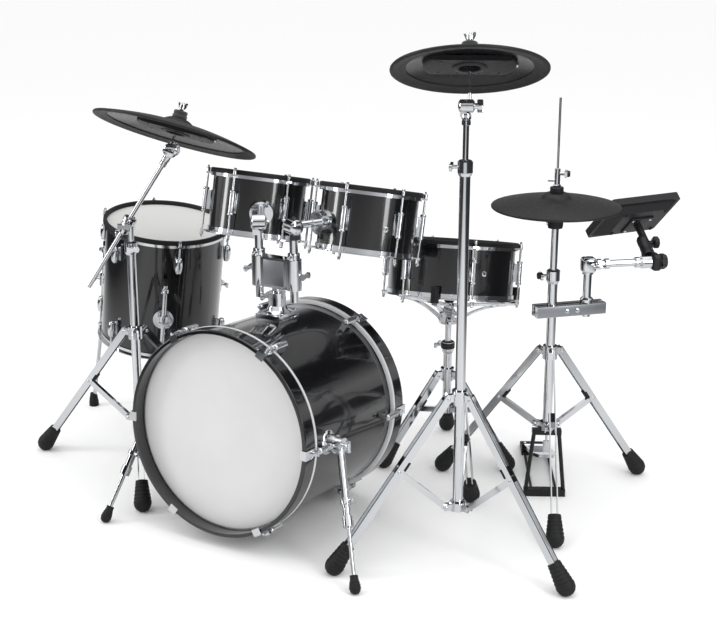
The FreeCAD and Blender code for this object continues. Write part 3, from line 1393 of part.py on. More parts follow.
def pedal(place):
    """Pedal frame and heel plate on the floor, the hinged footboard and the rod that it pulls down."""
    frame = heading(dim.pedal_heading)
    yoke_z = dim.hihat_hub_z - dim.hub_height / 2
    yoke_height = dim.pedal_frame_bar * 1.3
    base_depth = dim.pedal_frame_bar * 2
    yoke = block(base_depth, dim.pedal_frame_top_width, yoke_height, (0, 0, yoke_z - yoke_height), UPRIGHT,
                 frame)
    yoke = cut(yoke, cylinder(dim.hihat_rod_d * 2, yoke_height, (0, 0, yoke_z - yoke_height)))
    base = block(base_depth, dim.pedal_frame_width, dim.pedal_base_height, (0, 0, 0), UPRIGHT, frame)
    uprights = []
    runners = []
    heel_x = dim.pedal_heel
    for side in (-1, 1):
        top = frame.multVec(Vector(0, side * number(dim.pedal_frame_top_width - dim.pedal_frame_bar) / 2,
                                   number(yoke_z - yoke_height)))
        foot = frame.multVec(Vector(0, side * number(dim.pedal_frame_width - dim.pedal_frame_bar) / 2,
                                    number(dim.pedal_base_height)))
        uprights.append(rod(foot, top, dim.pedal_frame_bar))
        runner_y = side * number(dim.pedal_width) * 0.4
        runner_z = number(dim.heel_plate_height) / 2
        runner_start = frame.multVec(Vector(number(base_depth) / 2, runner_y, runner_z))
        runner_end = frame.multVec(Vector(number(heel_x - dim.heel_plate_length / 2), runner_y, runner_z))
        runners.append(rod(runner_start, runner_end, dim.pedal_frame_bar * 0.7))
    plate_block = block(dim.heel_plate_length, dim.pedal_width, dim.heel_plate_height, (heel_x, 0, 0),
                        UPRIGHT, frame)
    pin_x = heel_x - dim.heel_plate_length / 2 + dim.heel_pin_d * 1.5
    pin_z = dim.heel_plate_height + dim.heel_pin_d * 1.1
    ear = dim.heel_pin_d
    ears = []
    for side in (-1, 1):
        ears.append(block(dim.heel_pin_d * 2, ear, dim.heel_pin_d * 2.1,
                          (pin_x, side * (dim.pedal_width - ear) / 2, dim.heel_plate_height), UPRIGHT, frame))
    pin = cylinder(dim.heel_pin_d, dim.pedal_width, (pin_x, -dim.pedal_width / 2, pin_z), ALONG_Y, frame)
    node("pedal_frame", place, yoke, *[cut(upright, yoke, base) for upright in uprights], base, *runners,
         fuse(plate_block, *ears, pin))

    heel = frame.multVec(Vector(number(pin_x), 0, number(pin_z)))
    toe = frame.multVec(Vector(number(dim.pedal_toe) - number(base_depth) / 2, 0, number(dim.pedal_toe_z)))
    run = toe - heel
    length = run.Length
    side = Vector(0, 0, 1).cross(run).normalize()
    up = run.cross(side).normalize()
    board_turn = Rotation(run, side, up, "ZXY")
    inner = dim.pedal_width - ear * 2 - dim.part_gap * 2
    board = plate([
        (0, -inner / 2),
        (length * 0.72, -inner / 2),
        (length, -inner * 0.3, -inner * 0.02),
        (length, inner * 0.3, -inner * 0.1),
        (length * 0.72, inner / 2, -inner * 0.02),
        (0, inner / 2),
    ], dim.pedal_sheet, tuple(heel - up * (number(dim.pedal_sheet) / 2)), board_turn)
    barrel = cylinder(dim.heel_pin_d * 2, inner, (pin_x, -inner / 2, pin_z), ALONG_Y, frame)
    bore = cylinder(dim.heel_pin_d + dim.running_gap * 2, dim.pedal_width,
                    (pin_x, -dim.pedal_width / 2, pin_z), ALONG_Y, frame)
    node("pedal_footboard", place, cut(fuse(board, barrel), bore))

    level = number(dim.pedal_toe_z) - number(dim.pedal_toe) * abs(run.z) / math.hypot(run.x, run.y)
    strap_bottom = level + number(dim.pedal_sheet)
    strap_length = number(dim.hihat_rod_bottom + dim.pedal_strap_bite) - strap_bottom
    strap = block(dim.pedal_frame_bar * 0.5, dim.pedal_frame_bar * 1.5, strap_length, (0, 0, strap_bottom),
                  UPRIGHT, frame)
    pull = cylinder(dim.hihat_rod_d, dim.hihat_rod_top - dim.hihat_rod_bottom, (0, 0, dim.hihat_rod_bottom))
    node("hihat_rod", place, fuse(strap, pull))


# Multi-clamp, module arm and sound module

def multi_clamp():
    """Two-jaw clamp on the hi-hat tube that holds the module arm's post."""
    frame = heading(dim.multi_clamp_heading)
    middle = dim.module_post_offset / 2
    jaw = block(dim.multi_clamp_length, dim.multi_clamp_width, dim.multi_clamp_height,
                (middle, 0, dim.multi_clamp_z), UPRIGHT, frame)
    split = block(dim.multi_clamp_length, dim.multi_clamp_width * 0.16, dim.multi_clamp_height,
                  (middle, 0, dim.multi_clamp_z), UPRIGHT, frame)
    tube_bore = cylinder(dim.hihat_tube_d, dim.multi_clamp_height, (0, 0, dim.multi_clamp_z), UPRIGHT, frame)
    post_bore = cylinder(dim.module_post_d + dim.running_gap * 2, dim.multi_clamp_height,
                         (dim.module_post_offset, 0, dim.multi_clamp_z), UPRIGHT, frame)
    bolt_length = dim.multi_clamp_width * 1.3
    bolts = []
    for x in (dim.module_post_offset * 0.35, dim.module_post_offset * 0.65):
        bolt_z = dim.multi_clamp_z + dim.multi_clamp_height / 2
        bolts.append(cylinder(dim.wing_stem_d, bolt_length, (x, -bolt_length / 2, bolt_z), ALONG_Y, frame))
    return cut(fuse(cut(jaw, split), *bolts), tube_bore, post_bore)


module_x_axis = spin(1, number(dim.module_heading))
module_normal = lean(dim.module_slope, number(dim.module_heading) + 90)
module_place = Placement(
    Vector(number(dim.module_x), number(dim.module_y), number(dim.module_z)),
    Rotation(module_x_axis, module_normal.cross(module_x_axis), module_normal, "ZXY"))
module_post = (Vector(number(dim.hihat_x), number(dim.hihat_y), 0)
               + spin(number(dim.module_post_offset), number(dim.multi_clamp_heading)))


def module_arm():
    """L-shaped tube arm: post in the multi-clamp, corner, level tube and the joint disc at its end."""
    along = spin(1, number(dim.module_arm_heading))
    corner = module_post + Vector(0, 0, number(dim.module_arm_z))
    end = corner + along * number(dim.module_arm_length)
    bottom = dim.multi_clamp_z - dim.multi_clamp_height * 0.3
    depth = number(dim.module_joint_depth)
    post = cylinder(dim.module_post_d, number(dim.module_arm_z - bottom), (corner.x, corner.y, bottom))
    sleeve = cylinder(dim.module_post_d * 1.35, dim.module_post_d * 1.8,
                      (corner.x, corner.y, corner.z - number(dim.module_post_d) * 1.1))
    level = rod(corner, end - along * depth, dim.module_post_d * 0.9)
    fixed, moving, hole = knuckle(dim.module_joint_d, dim.module_joint_depth, dim.elbow_pin_d, end, along)
    upright = fuse(post, sleeve)
    node("module_arm", Placement(), upright, cut(fuse(level, fixed), upright))
    return end + along * (depth / 2 + number(dim.part_gap) / 2), moving, hole


def sound_module():
    """Module housing with its bracket, dial and buttons. The panel faces the drummer."""
    joint, moving, hole = module_arm()
    half = dim.module_thickness / 2
    corner = dim.module_thickness / 4
    half_length = dim.module_length / 2
    half_depth = dim.module_depth / 2
    top = plate([
        (-half_length + corner, -half_depth),
        (half_length - corner, -half_depth),
        (half_length, -half_depth + corner, -corner * QUARTER_RISE),
        (half_length, half_depth - corner),
        (half_length - corner, half_depth, -corner * QUARTER_RISE),
        (-half_length + corner, half_depth),
        (-half_length, half_depth - corner, -corner * QUARTER_RISE),
        (-half_length, -half_depth + corner),
    ], half)
    belly = doc.addObject("Part::Wedge", "belly")
    inset = dim.module_thickness
    sizes = {
        "Xmin": -half_length + corner, "Xmax": half_length - corner,
        "Zmin": -half_depth + corner, "Zmax": half_depth - corner,
        "Ymin": 0, "Ymax": half,
        "X2min": -half_length + inset, "X2max": half_length - inset,
        "Z2min": -half_depth + inset * 0.5, "Z2max": half_depth - inset,
    }
    for name, value in sizes.items():
        bind(belly, name, value)
    put(belly, (0, 0, 0), Rotation(Vector(1, 0, 0), -90))
    keys = button_places()
    deep = dim.module_button_proud * 3
    key_hole = dim.module_button_side + dim.part_gap * 2
    pockets = [block(key_hole, key_hole, deep, (x, y, half - deep)) for x, y in keys]
    dial_x, dial_y = dial_place()
    shaft_d = dim.module_dial_d * 0.25
    pockets.append(cylinder(shaft_d + dim.running_gap * 2, deep, (dial_x, dial_y, half - deep)))
    jacks = [cylinder(dim.module_button_side * 0.5, dim.module_button_side,
                      (x, half_depth - dim.module_button_side, half / 2), ALONG_Y)
             for x in (-half_length * 0.6, -half_length * 0.3, 0, half_length * 0.3)]
    housing = cut(fuse(top, belly), *pockets, *jacks)
    strut = rod(joint, module_place.Base, dim.module_bracket_d)
    bracket = cut(fuse(moving, strut), hole)
    bracket.Placement = module_place.inverse()
    node("module_housing", module_place, housing, cut(bracket, top, belly))
    dial = fuse(
        cylinder(dim.module_dial_d, dim.module_dial_height, (dial_x, dial_y, half + dim.part_gap)),
        cylinder(shaft_d, deep, (dial_x, dial_y, half + dim.part_gap * 2 - deep)),
    )
    node("module_dial", module_place, dial)
    node("module_buttons", module_place, *[
        block(dim.module_button_side, dim.module_button_side, dim.module_button_proud * 2,
              (x, y, half - dim.module_button_proud)) for x, y in keys])


def button_places():
    """Two rows of four buttons on the left of the panel."""
    pitch = dim.module_button_side * 1.7
    start_x = -dim.module_length * 0.36
    start_y = -dim.module_depth * 0.28
    return [(start_x + pitch * column, start_y + pitch * row) for row in range(2) for column in range(4)]


def dial_place():
    return dim.module_length * 0.28, dim.module_depth * 0.02


def build():
    bass_drum()
    bass_brackets()
    spur("bass_spur_left", -1, dim.spur_left_reach)
    spur("bass_spur_right", 1, dim.spur_right_reach)
    tom_post()
    rack_tom("left", -1)
    rack_tom("right", 1)
    floor_tom()
    rubber = floor_legs()
    crash_stand()
    rubber += ride_stand()
    rubber += snare_stand()
    rubber += hihat_stand()
    node("rubber_feet", Placement(), *rubber)
    sound_module()
    doc.recompute()


def write():
    """Checks every object of the document, then writes one file for each sub-part."""
    failed = [item.Name for item in doc.Objects if "Invalid" in item.State or "Error" in item.State]
    failed += [part.Label for part in nodes if part.Shape.isNull() or not part.Shape.isValid()]
    if failed:
        raise RuntimeError(f"These objects failed: {failed}")
    os.makedirs("parts", exist_ok=True)
    for part in nodes:
        part.Shape.exportStep(f"parts/{part.Label}.step")
    box = FreeCAD.BoundBox()
    for part in nodes:
        box.add(part.Shape.BoundBox)
    print(f"{len(nodes)} sub-parts, box {box.XMin:.1f} {box.YMin:.1f} {box.ZMin:.1f} to "
          f"{box.XMax:.1f} {box.YMax:.1f} {box.ZMax:.1f}")


build()
write()
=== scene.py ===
"""Looks for an electronic drum kit: lacquered shells, mesh heads, rubber pad cymbals and chromed stands."""

import json
import math

import bmesh
import bpy
from mathutils import Euler, Matrix, Vector

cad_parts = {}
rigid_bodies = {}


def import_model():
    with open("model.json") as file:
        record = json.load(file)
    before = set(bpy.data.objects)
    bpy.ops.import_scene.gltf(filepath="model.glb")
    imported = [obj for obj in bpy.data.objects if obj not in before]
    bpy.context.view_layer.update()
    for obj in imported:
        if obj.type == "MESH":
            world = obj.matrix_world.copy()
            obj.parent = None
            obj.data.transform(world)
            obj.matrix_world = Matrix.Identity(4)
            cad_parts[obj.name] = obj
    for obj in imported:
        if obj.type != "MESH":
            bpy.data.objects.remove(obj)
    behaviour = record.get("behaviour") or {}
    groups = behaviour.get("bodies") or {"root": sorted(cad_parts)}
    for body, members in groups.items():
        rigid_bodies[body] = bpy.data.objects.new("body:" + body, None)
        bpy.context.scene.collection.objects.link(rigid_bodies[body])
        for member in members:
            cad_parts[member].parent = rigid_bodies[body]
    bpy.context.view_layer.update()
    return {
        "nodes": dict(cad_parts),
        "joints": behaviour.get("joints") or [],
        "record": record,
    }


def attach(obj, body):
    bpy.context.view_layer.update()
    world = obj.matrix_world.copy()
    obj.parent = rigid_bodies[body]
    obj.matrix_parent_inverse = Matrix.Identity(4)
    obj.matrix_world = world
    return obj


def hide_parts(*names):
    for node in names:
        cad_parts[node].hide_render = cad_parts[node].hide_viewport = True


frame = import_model()

MM = 0.001
UP = Vector((0, 0, 1))
JOINTS = {joint["name"]: joint for joint in frame["joints"]}

# The floor plan in mm, and its shift into the model's frame
KIT_SHIFT = Vector((8.9, -46.0, 0)) * MM
STAND_AT = {"crash": (573, -223), "ride": (-472, -178), "snare": (252, 336), "hihat": (615, 223)}
FLOOR_TOM_AT = (-667, 167)
BASS_X = 30
THIRDS = (0, 120, 240)


# Placing

def lean(angle, heading):
    """The direction of an axis that leans from upright towards a heading, in degrees."""
    tip, way = math.radians(angle), math.radians(heading)
    return Vector((math.sin(tip) * math.cos(way), math.sin(tip) * math.sin(way), math.cos(tip)))


def spot(x, y, z):
    """A point of the floor plan, given in millimetres, in the model's frame."""
    return Vector((x, y, z)) * MM + KIT_SHIFT


def toward(direction):
    """The turn that takes the Z axis to a direction."""
    return UP.rotation_difference(Vector(direction)).to_matrix().to_4x4()


def stand_at(point, direction=UP):
    return Matrix.Translation(point) @ toward(direction)


def axes_at(point, x_axis, y_axis, z_axis):
    return Matrix.Translation(point) @ Matrix((x_axis, y_axis, z_axis)).transposed().to_4x4()


def turn_x(angle):
    return Matrix.Rotation(math.radians(angle), 4, "X")


def turn_z(angle):
    return Matrix.Rotation(math.radians(angle), 4, "Z")


def shift(x, y, z):
    return Matrix.Translation(Vector((x, y, z)) * MM)


def on_stand(name, height, heading=0.0, out=0.0):
    """A place at a height of a stand's tube, or out from its axis towards a heading."""
    return Matrix.Translation(spot(*STAND_AT[name], 0)) @ turn_z(heading) @ shift(out, 0, height)


def joint_spot(name):
    return Vector(JOINTS[name]["pos_m"])


def joint_axis(name):
    return Vector(JOINTS[name]["axis"])


UPSIDE_DOWN = turn_x(180)
# Takes the Z axis to the X axis
SIDEWAYS = Matrix.Rotation(math.radians(90), 4, "Y")


def around(place, radius, height, angles):
    """Placements round an axis, each with its X axis outward."""
    return [place @ turn_z(angle) @ shift(radius, 0, height) for angle in angles]


def corners(place, half_x, half_y, height):
    """Placements at the four corners of a rectangle."""
    return [place @ shift(x, y, height) for x in (-half_x, half_x) for y in (-half_y, half_y)]


def flipped(places):
    return [place @ UPSIDE_DOWN for place in places]


# Colours and finishes

# Sockets of a colour mix, by their place, since its kinds share names
MIX_SHARE, MIX_FIRST, MIX_SECOND, MIX_RESULT = 0, 6, 7, 2
# Nearly all of a noise's values lie between these two
NOISE_LOW, NOISE_HIGH = 0.3, 0.7
# Spacing of the heads' threads and of the pads' turned grooves, in mm
THREAD_PITCH = 2.6
GROOVE_PITCH = 3.2


def srgb(code):
    """A six digit sRGB colour code as a linear colour."""
    parts = [int(code[index:index + 2], 16) / 255 for index in (0, 2, 4)]
    linear = [part / 12.92 if part <= 0.04045 else ((part + 0.055) / 1.055) ** 2.4 for part in parts]
    return (*linear, 1.0)


def add(tree, kind, inputs=None, **settings):
    """Adds a node with its settings, and sets or links its inputs."""
    made = tree.nodes.new(kind)
    for name, value in settings.items():
        setattr(made, name, value)
    for name, value in (inputs or {}).items():
        if isinstance(value, bpy.types.NodeSocket):
            tree.links.new(value, made.inputs[name])
        else:
            made.inputs[name].default_value = value
    return made


def wave_scale(pitch_mm):
    """The scale of a wave texture whose bands repeat at this pitch. At scale 1 that is a tenth of pi."""
    return 2 * math.pi / (20 * pitch_mm * MM)


def surface(name, **values):
    """A new material with its principled shader. Even values are set on the shader's own sockets."""
    made = bpy.data.materials.new(name)
    made.use_nodes = True
    shader = made.node_tree.nodes["Principled BSDF"]
    for socket, value in values.items():
        shader.inputs[socket.replace("_", " ")].default_value = value
    return made, made.node_tree, shader


def pattern_on(tree, shader, pattern, colours=None, roughness=None, relief=None):
    """Shows a pattern on a finish, as colours between two codes, as roughness or as relief.

    Roughness is a low and a high value, and relief is a depth in mm and its strength.
    """
    if colours:
        mix = add(tree, "ShaderNodeMix", {MIX_SHARE: pattern, MIX_FIRST: srgb(colours[0]),
                                          MIX_SECOND: srgb(colours[1])}, data_type="RGBA")
        tree.links.new(mix.outputs[MIX_RESULT], shader.inputs["Base Color"])
    if roughness:
        spread = add(tree, "ShaderNodeMapRange", {"Value": pattern, "From Min": NOISE_LOW,
                                                  "From Max": NOISE_HIGH, "To Min": roughness[0],
                                                  "To Max": roughness[1]})
        tree.links.new(spread.outputs["Result"], shader.inputs["Roughness"])
    if relief:
        raised = add(tree, "ShaderNodeBump", {"Height": pattern, "Distance": relief[0] * MM,
                                              "Strength": relief[1]})
        tree.links.new(raised.outputs["Normal"], shader.inputs["Normal"])


def patches_on(tree, shader, size_mm, detail=3.0, **looks):
    """Shows soft patches of about this size on a finish, in the ways that pattern_on knows."""
    place = add(tree, "ShaderNodeTexCoord")
    drift = add(tree, "ShaderNodeTexNoise", {"Vector": place.outputs["Object"],
                                             "Scale": 1 / (size_mm * MM), "Detail": detail})
    pattern_on(tree, shader, drift.outputs["Fac"], **looks)


def chromed_steel():
    """Polished chromium plate: mirror bright, with faint hand marks that dull the mirror in patches."""
    made, tree, shader = surface("chromed_steel_polished", Metallic=1.0, Base_Color=srgb("e6e8eb"))
    patches_on(tree, shader, 45, 4.0, roughness=(0.035, 0.12))
    patches_on(tree, shader, 14, relief=(0.02, 0.35))
    return made


def satin_aluminium():
    """Cast aluminium, tumbled to satin: grey, with the fine grain of the casting."""
    made, tree, shader = surface("aluminium_cast_satin", Metallic=1.0, Base_Color=srgb("a4a7ac"))
    patches_on(tree, shader, 6, 4.0, roughness=(0.38, 0.5))
    patches_on(tree, shader, 3, relief=(0.02, 0.3))
    return made


def silver_lacquer():
    """Lacquer filled with aluminium flakes: pale silver that stays light from every side."""
    made, tree, shader = surface("silver_flake_lacquer", Metallic=0.25, Coat_Weight=0.6)
    patches_on(tree, shader, 1.2, 4.0, colours=("d2d3d5", "e6e7e8"))
    patches_on(tree, shader, 5, roughness=(0.3, 0.42))
    return made


def lacquered_wood():
    """Black gloss wrap on plywood: deep black under a clear coat, with a slight ripple in its shine."""
    made, tree, shader = surface("birch_ply_black_gloss", Roughness=0.16, Coat_Weight=1.0,
                                 Coat_Roughness=0.03, IOR=1.5)
    patches_on(tree, shader, 0.8, 2.0, colours=("08080a", "101013"))
    patches_on(tree, shader, 22, 2.0, relief=(0.05, 0.25))
    return made


def woven_mesh(name, directions):
    """White polyester mesh: crossing threads that show as a faint grid. They are drawn coarse, to show."""
    made, tree, shader = surface(name, Roughness=0.62)
    place = add(tree, "ShaderNodeTexCoord")
    threads = []
    for direction in directions:
        wave = add(tree, "ShaderNodeTexWave", {"Vector": place.outputs["Object"],
                                               "Scale": wave_scale(THREAD_PITCH)}, bands_direction=direction)
        threads.append(wave.outputs["Fac"])
    weave = add(tree, "ShaderNodeMath", {0: threads[0], 1: threads[1]}, operation="MULTIPLY")
    pattern_on(tree, shader, weave.outputs["Value"], colours=("c6c6c4", "dadad8"), relief=(0.25, 0.6))
    return made


def coated_film():
    """White film of the front head: smooth, with the faint unevenness of its sprayed coat."""
    made, tree, shader = surface("polyester_film_white", Specular_IOR_Level=0.4)
    patches_on(tree, shader, 90, 2.0, colours=("c9c9c9", "d1d1d1"))
    patches_on(tree, shader, 5, roughness=(0.34, 0.46))
    patches_on(tree, shader, 0.9, relief=(0.02, 0.5))
    return made


def moulded_rubber():
    """Black moulded rubber: dull, with bloom in pale patches and the fine pits of the mould."""
    made, tree, shader = surface("rubber_moulded_black", Specular_IOR_Level=0.35)
    patches_on(tree, shader, 18, 4.0, colours=("121213", "1d1d1f"))
    patches_on(tree, shader, 6, roughness=(0.5, 0.68))
    patches_on(tree, shader, 0.7, relief=(0.06, 0.6))
    return made


def grooved_pad():
    """Playing rubber of a pad cymbal: fine turned grooves that break the light into rings."""
    made, tree, shader = surface("rubber_pad_grooved", Specular_IOR_Level=0.4)
    patches_on(tree, shader, 30, 4.0, colours=("151516", "212122"))
    patches_on(tree, shader, 9, roughness=(0.42, 0.56))
    place = add(tree, "ShaderNodeTexCoord")
    groove = add(tree, "ShaderNodeTexWave", {"Vector": place.outputs["UV"],
                                             "Scale": wave_scale(GROOVE_PITCH)}, bands_direction="Y")
    pattern_on(tree, shader, groove.outputs["Fac"], relief=(0.08, 0.25))
    return made


def moulded_plastic(name, colours, roughness, pit_mm):
    """Moulded ABS: an even colour with a spark-eroded grain that spreads the highlight."""
    made, tree, shader = surface(name)
    patches_on(tree, shader, 25, colours=colours)
    patches_on(tree, shader, 4, roughness=roughness)
    patches_on(tree, shader, pit_mm, relief=(0.04, 0.5))
    return made


def powder_coat():
    """Black powder coat on steel: a low orange-peel skin under a soft shine."""
    made, tree, shader = surface("steel_powder_coat_black", Base_Color=srgb("0e0e10"))
    patches_on(tree, shader, 5, roughness=(0.24, 0.38))
    patches_on(tree, shader, 1.8, 2.0, relief=(0.08, 0.6))
    return made


def pressed_felt():
    """Grey pressed felt: matted fibres with a soft edge of light."""
    made, tree, shader = surface("wool_felt_pressed", Roughness=0.95, Sheen_Weight=0.4, Sheen_Roughness=0.5)
    patches_on(tree, shader, 1.6, 6.0, colours=("26262a", "4a4a4e"))
    patches_on(tree, shader, 0.8, 6.0, relief=(0.3, 0.8))
    return made


def display_glass():
    """Smoked display window: dark and wet, with faint dust that catches the light."""
    made, tree, shader = surface("acrylic_window_smoked", Base_Color=srgb("0b1216"), Coat_Weight=1.0)
    patches_on(tree, shader, 2, 5.0, roughness=(0.05, 0.16))
    return made


CHROME = chromed_steel()
ALUMINIUM = satin_aluminium()
SILVER = silver_lacquer()
LACQUER = lacquered_wood()
# The threads of a lying head run along X and Y, those of the bass drum's standing head along X and Z
MESH = woven_mesh("polyester_mesh_white", "XY")
UPRIGHT_MESH = woven_mesh("polyester_mesh_upright", "XZ")
FILM = coated_film()
RUBBER = moulded_rubber()
PAD = grooved_pad()
PLASTIC = moulded_plastic("abs_moulded_black", ("131316", "1b1b1f"), (0.4, 0.55), 0.5)
GLOSS_PLASTIC = moulded_plastic("abs_moulded_gloss", ("101013", "17171a"), (0.16, 0.28), 1.5)
KEY_PLASTIC = moulded_plastic("silicone_key_grey", ("55565a", "6a6b70"), (0.5, 0.62), 0.6)
PAINT = powder_coat()
FELT = pressed_felt()
WINDOW = display_glass()

# The source's material slots, each with its main finish first
SLOT_FINISHES = {
    "black_lacquer": (LACQUER,),
    "white_mesh": (MESH, UPRIGHT_MESH, FILM),
    "chrome": (CHROME, ALUMINIUM, SILVER),
    "black_rubber": (RUBBER, FELT),
    "pad_rubber": (PAD,),
    "black_plastic": (PLASTIC, GLOSS_PLASTIC, KEY_PLASTIC, WINDOW),
    "black_paint": (PAINT,),
}


# Meshes

SHARP_ANGLE = 32
BOX_SHARP_ANGLE = 40


def shade(mesh, angle=SHARP_ANGLE):
    mesh.shade_smooth()
    mesh.set_sharp_from_angle(angle=math.radians(angle))


NODE_SLOT = {sub["node"]: sub["material_slot"] for sub in frame["record"]["subparts"]}
for name, part in frame["nodes"].items():
    part.data.materials.clear()
    part.data.materials.append(SLOT_FINISHES[NODE_SLOT[name]][0])
    shade(part.data)
frame["nodes"]["module_buttons"].data.materials[0] = KEY_PLASTIC


def weld(mesh):
    """Joins points that meet, drops the faces that vanish there and turns the rest outwards."""
    work = bmesh.new()
    work.from_mesh(mesh)
    bmesh.ops.remove_doubles(work, verts=work.verts, dist=1e-6)
    bmesh.ops.dissolve_degenerate(work, edges=work.edges, dist=1e-7)
    bmesh.ops.recalc_face_normals(work, faces=work.faces)
    work.to_mesh(mesh)
    work.free()
    shade(mesh)


def mesh_of(name, points, faces, uvs=None):
    made = bpy.data.meshes.new(name)
    made.from_pydata(points, [], faces)
    if uvs:
        layer = made.uv_layers.new(name="turned")
        for loop in made.loops:
            layer.data[loop.index].uv = uvs[loop.vertex_index]
    made.validate()
    weld(made)
    return made


def turned(name, profile, steps=72, closed=True, reach=None):
    """A mesh turned about Z from (radius, height) points in mm, with a reach that may limit the radius.

    Its UV runs round, and along the profile in metres.
    """
    points, uvs, faces = [], [], []
    run = 0.0
    for index, (radius, height) in enumerate(profile):
        if index:
            run += math.hypot(radius - profile[index - 1][0], height - profile[index - 1][1]) * MM
        for step in range(steps):
            angle = 2 * math.pi * step / steps
            limited = min(radius, reach(angle)) if reach else radius
            points.append((limited * math.cos(angle) * MM, limited * math.sin(angle) * MM, height * MM))
            uvs.append((step / steps, run))
    rows = len(profile)
    for row in range(rows if closed else rows - 1):
        low, high = row * steps, (row + 1) % rows * steps
        for step in range(steps):
            after = (step + 1) % steps
            faces.append((low + step, low + after, high + after, high + step))
    return mesh_of(name, points, faces, uvs)


def rounded_box(name, size, edge, segments=2):
    """A block with rounded edges, centred on the origin. Sizes are in mm."""
    work = bmesh.new()
    bmesh.ops.create_cube(work, size=1.0)
    bmesh.ops.scale(work, vec=Vector(size) * MM, verts=work.verts)
    bmesh.ops.bevel(work, geom=work.edges, offset=edge * MM, segments=segments, profile=0.5,
                    affect="EDGES")
    made = bpy.data.meshes.new(name)
    work.to_mesh(made)
    work.free()
    shade(made, BOX_SHARP_ANGLE)
    return made


def round_bar(name, diameter, length, edge=0.6, steps=24):
    """A round bar that stands on the origin, with its end edges broken."""
    radius = diameter / 2
    return turned(name, [(0, 0), (radius - edge, 0), (radius, edge), (radius, length - edge),
                         (radius - edge, length), (0, length)], steps, closed=False)


def knob(diameter, depth, lobes):
    """A moulded grip with shallow lobes, that stands on the origin."""
    radius = diameter / 2
    profile = [(0, 0), (radius * 0.7, 0), (radius, depth * 0.2), (radius, depth * 0.8),
               (radius * 0.8, depth), (0, depth)]
    return turned("knob", profile, 60, closed=False,
                  reach=lambda angle: radius * (0.9 + 0.1 * math.cos(lobes * angle)))


def arc(start, end, rise, count):
    """Points from one profile point to another, bowed up by a rise in the middle."""
    found = []
    for index in range(count + 1):
        share = index / count
        found.append((start[0] + (end[0] - start[0]) * share,
                      start[1] + (end[1] - start[1]) * share + 4 * rise * share * (1 - share)))
    return found


def strap(name, path, width, sheet):
    """A flat bar bent along (reach, height) points in mm, in the plane of X and Z."""
    points, faces = [], []
    last = len(path) - 1
    for row, (reach, height) in enumerate(path):
        before, after = path[max(row - 1, 0)], path[min(row + 1, last)]
        run = Vector((after[0] - before[0], after[1] - before[1])).normalized()
        for side, face in ((-1, -1), (1, -1), (1, 1), (-1, 1)):
            points.append((Vector((reach, 0, height)) + Vector((-run.y, 0, run.x)) * face * sheet / 2
                           + Vector((0, side * width / 2, 0))) * MM)
        if row < last:
            faces += [(row * 4 + corner, row * 4 + (corner + 1) % 4, row * 4 + 4 + (corner + 1) % 4,
                       row * 4 + 4 + corner) for corner in range(4)]
    faces += [(0, 1, 2, 3), tuple(last * 4 + corner for corner in range(4))]
    return mesh_of(name, points, faces)


def joined(name, *parts):
    """One mesh from (mesh, placement) pairs."""
    work = bmesh.new()
    for mesh, place in parts:
        copy = mesh.copy()
        copy.transform(place)
        work.from_mesh(copy)
        bpy.data.meshes.remove(copy)
    made = bpy.data.meshes.new(name)
    work.to_mesh(made)
    work.free()
    shade(made)
    return made


def flattened(mesh, place=Matrix()):
    """A placed copy of a mesh, with what would reach below the floor pressed flat on it."""
    made = mesh.copy()
    made.transform(place)
    for point in made.vertices:
        point.co.z = max(point.co.z, 0.0)
    return made


def piece(name, mesh, body, finish, place=Matrix(), replaced=()):
    """Sets a mesh down as one piece that rides on a body."""
    mesh = mesh.copy()
    mesh.name = name
    mesh.transform(place)
    mesh.materials.clear()
    mesh.materials.append(finish)
    made = bpy.data.objects.new(name, mesh)
    bpy.context.scene.collection.objects.link(made)
    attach(made, body)
    if replaced:
        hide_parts(*replaced)
    return made


# What repeats: one part set at many places

def repeat_tree():
    """Geometry nodes that set one part at each point of a mesh, turned by the point's own angles."""
    tree = bpy.data.node_groups.new("set_at_places", "GeometryNodeTree")
    for label, kind in (("Places", "NodeSocketGeometry"), ("Part", "NodeSocketObject"),
                        ("Finish", "NodeSocketMaterial"), ("Size", "NodeSocketFloat")):
        tree.interface.new_socket(label, in_out="INPUT", socket_type=kind)
    tree.interface.new_socket("Result", in_out="OUTPUT", socket_type="NodeSocketGeometry")
    source = add(tree, "NodeGroupInput")
    info = add(tree, "GeometryNodeObjectInfo", {"Object": source.outputs["Part"]})
    turn = add(tree, "GeometryNodeInputNamedAttribute", {"Name": "turn"}, data_type="FLOAT_VECTOR")
    grow = add(tree, "ShaderNodeCombineXYZ", {axis: source.outputs["Size"] for axis in "XYZ"})
    spin = add(tree, "FunctionNodeEulerToRotation", {"Euler": turn.outputs["Attribute"]})
    copies = add(tree, "GeometryNodeInstanceOnPoints", {
        "Points": source.outputs["Places"], "Instance": info.outputs["Geometry"],
        "Rotation": spin.outputs["Rotation"], "Scale": grow.outputs["Vector"]})
    real = add(tree, "GeometryNodeRealizeInstances", {"Geometry": copies.outputs["Instances"]})
    coat = add(tree, "GeometryNodeSetMaterial", {"Geometry": real.outputs["Geometry"],
                                                 "Material": source.outputs["Finish"]})
    add(tree, "NodeGroupOutput", {"Result": coat.outputs["Geometry"]})
    return tree


REPEAT = repeat_tree()
INPUT_ID = {item.name: item.identifier for item in REPEAT.interface.items_tree if item.in_out == "INPUT"}


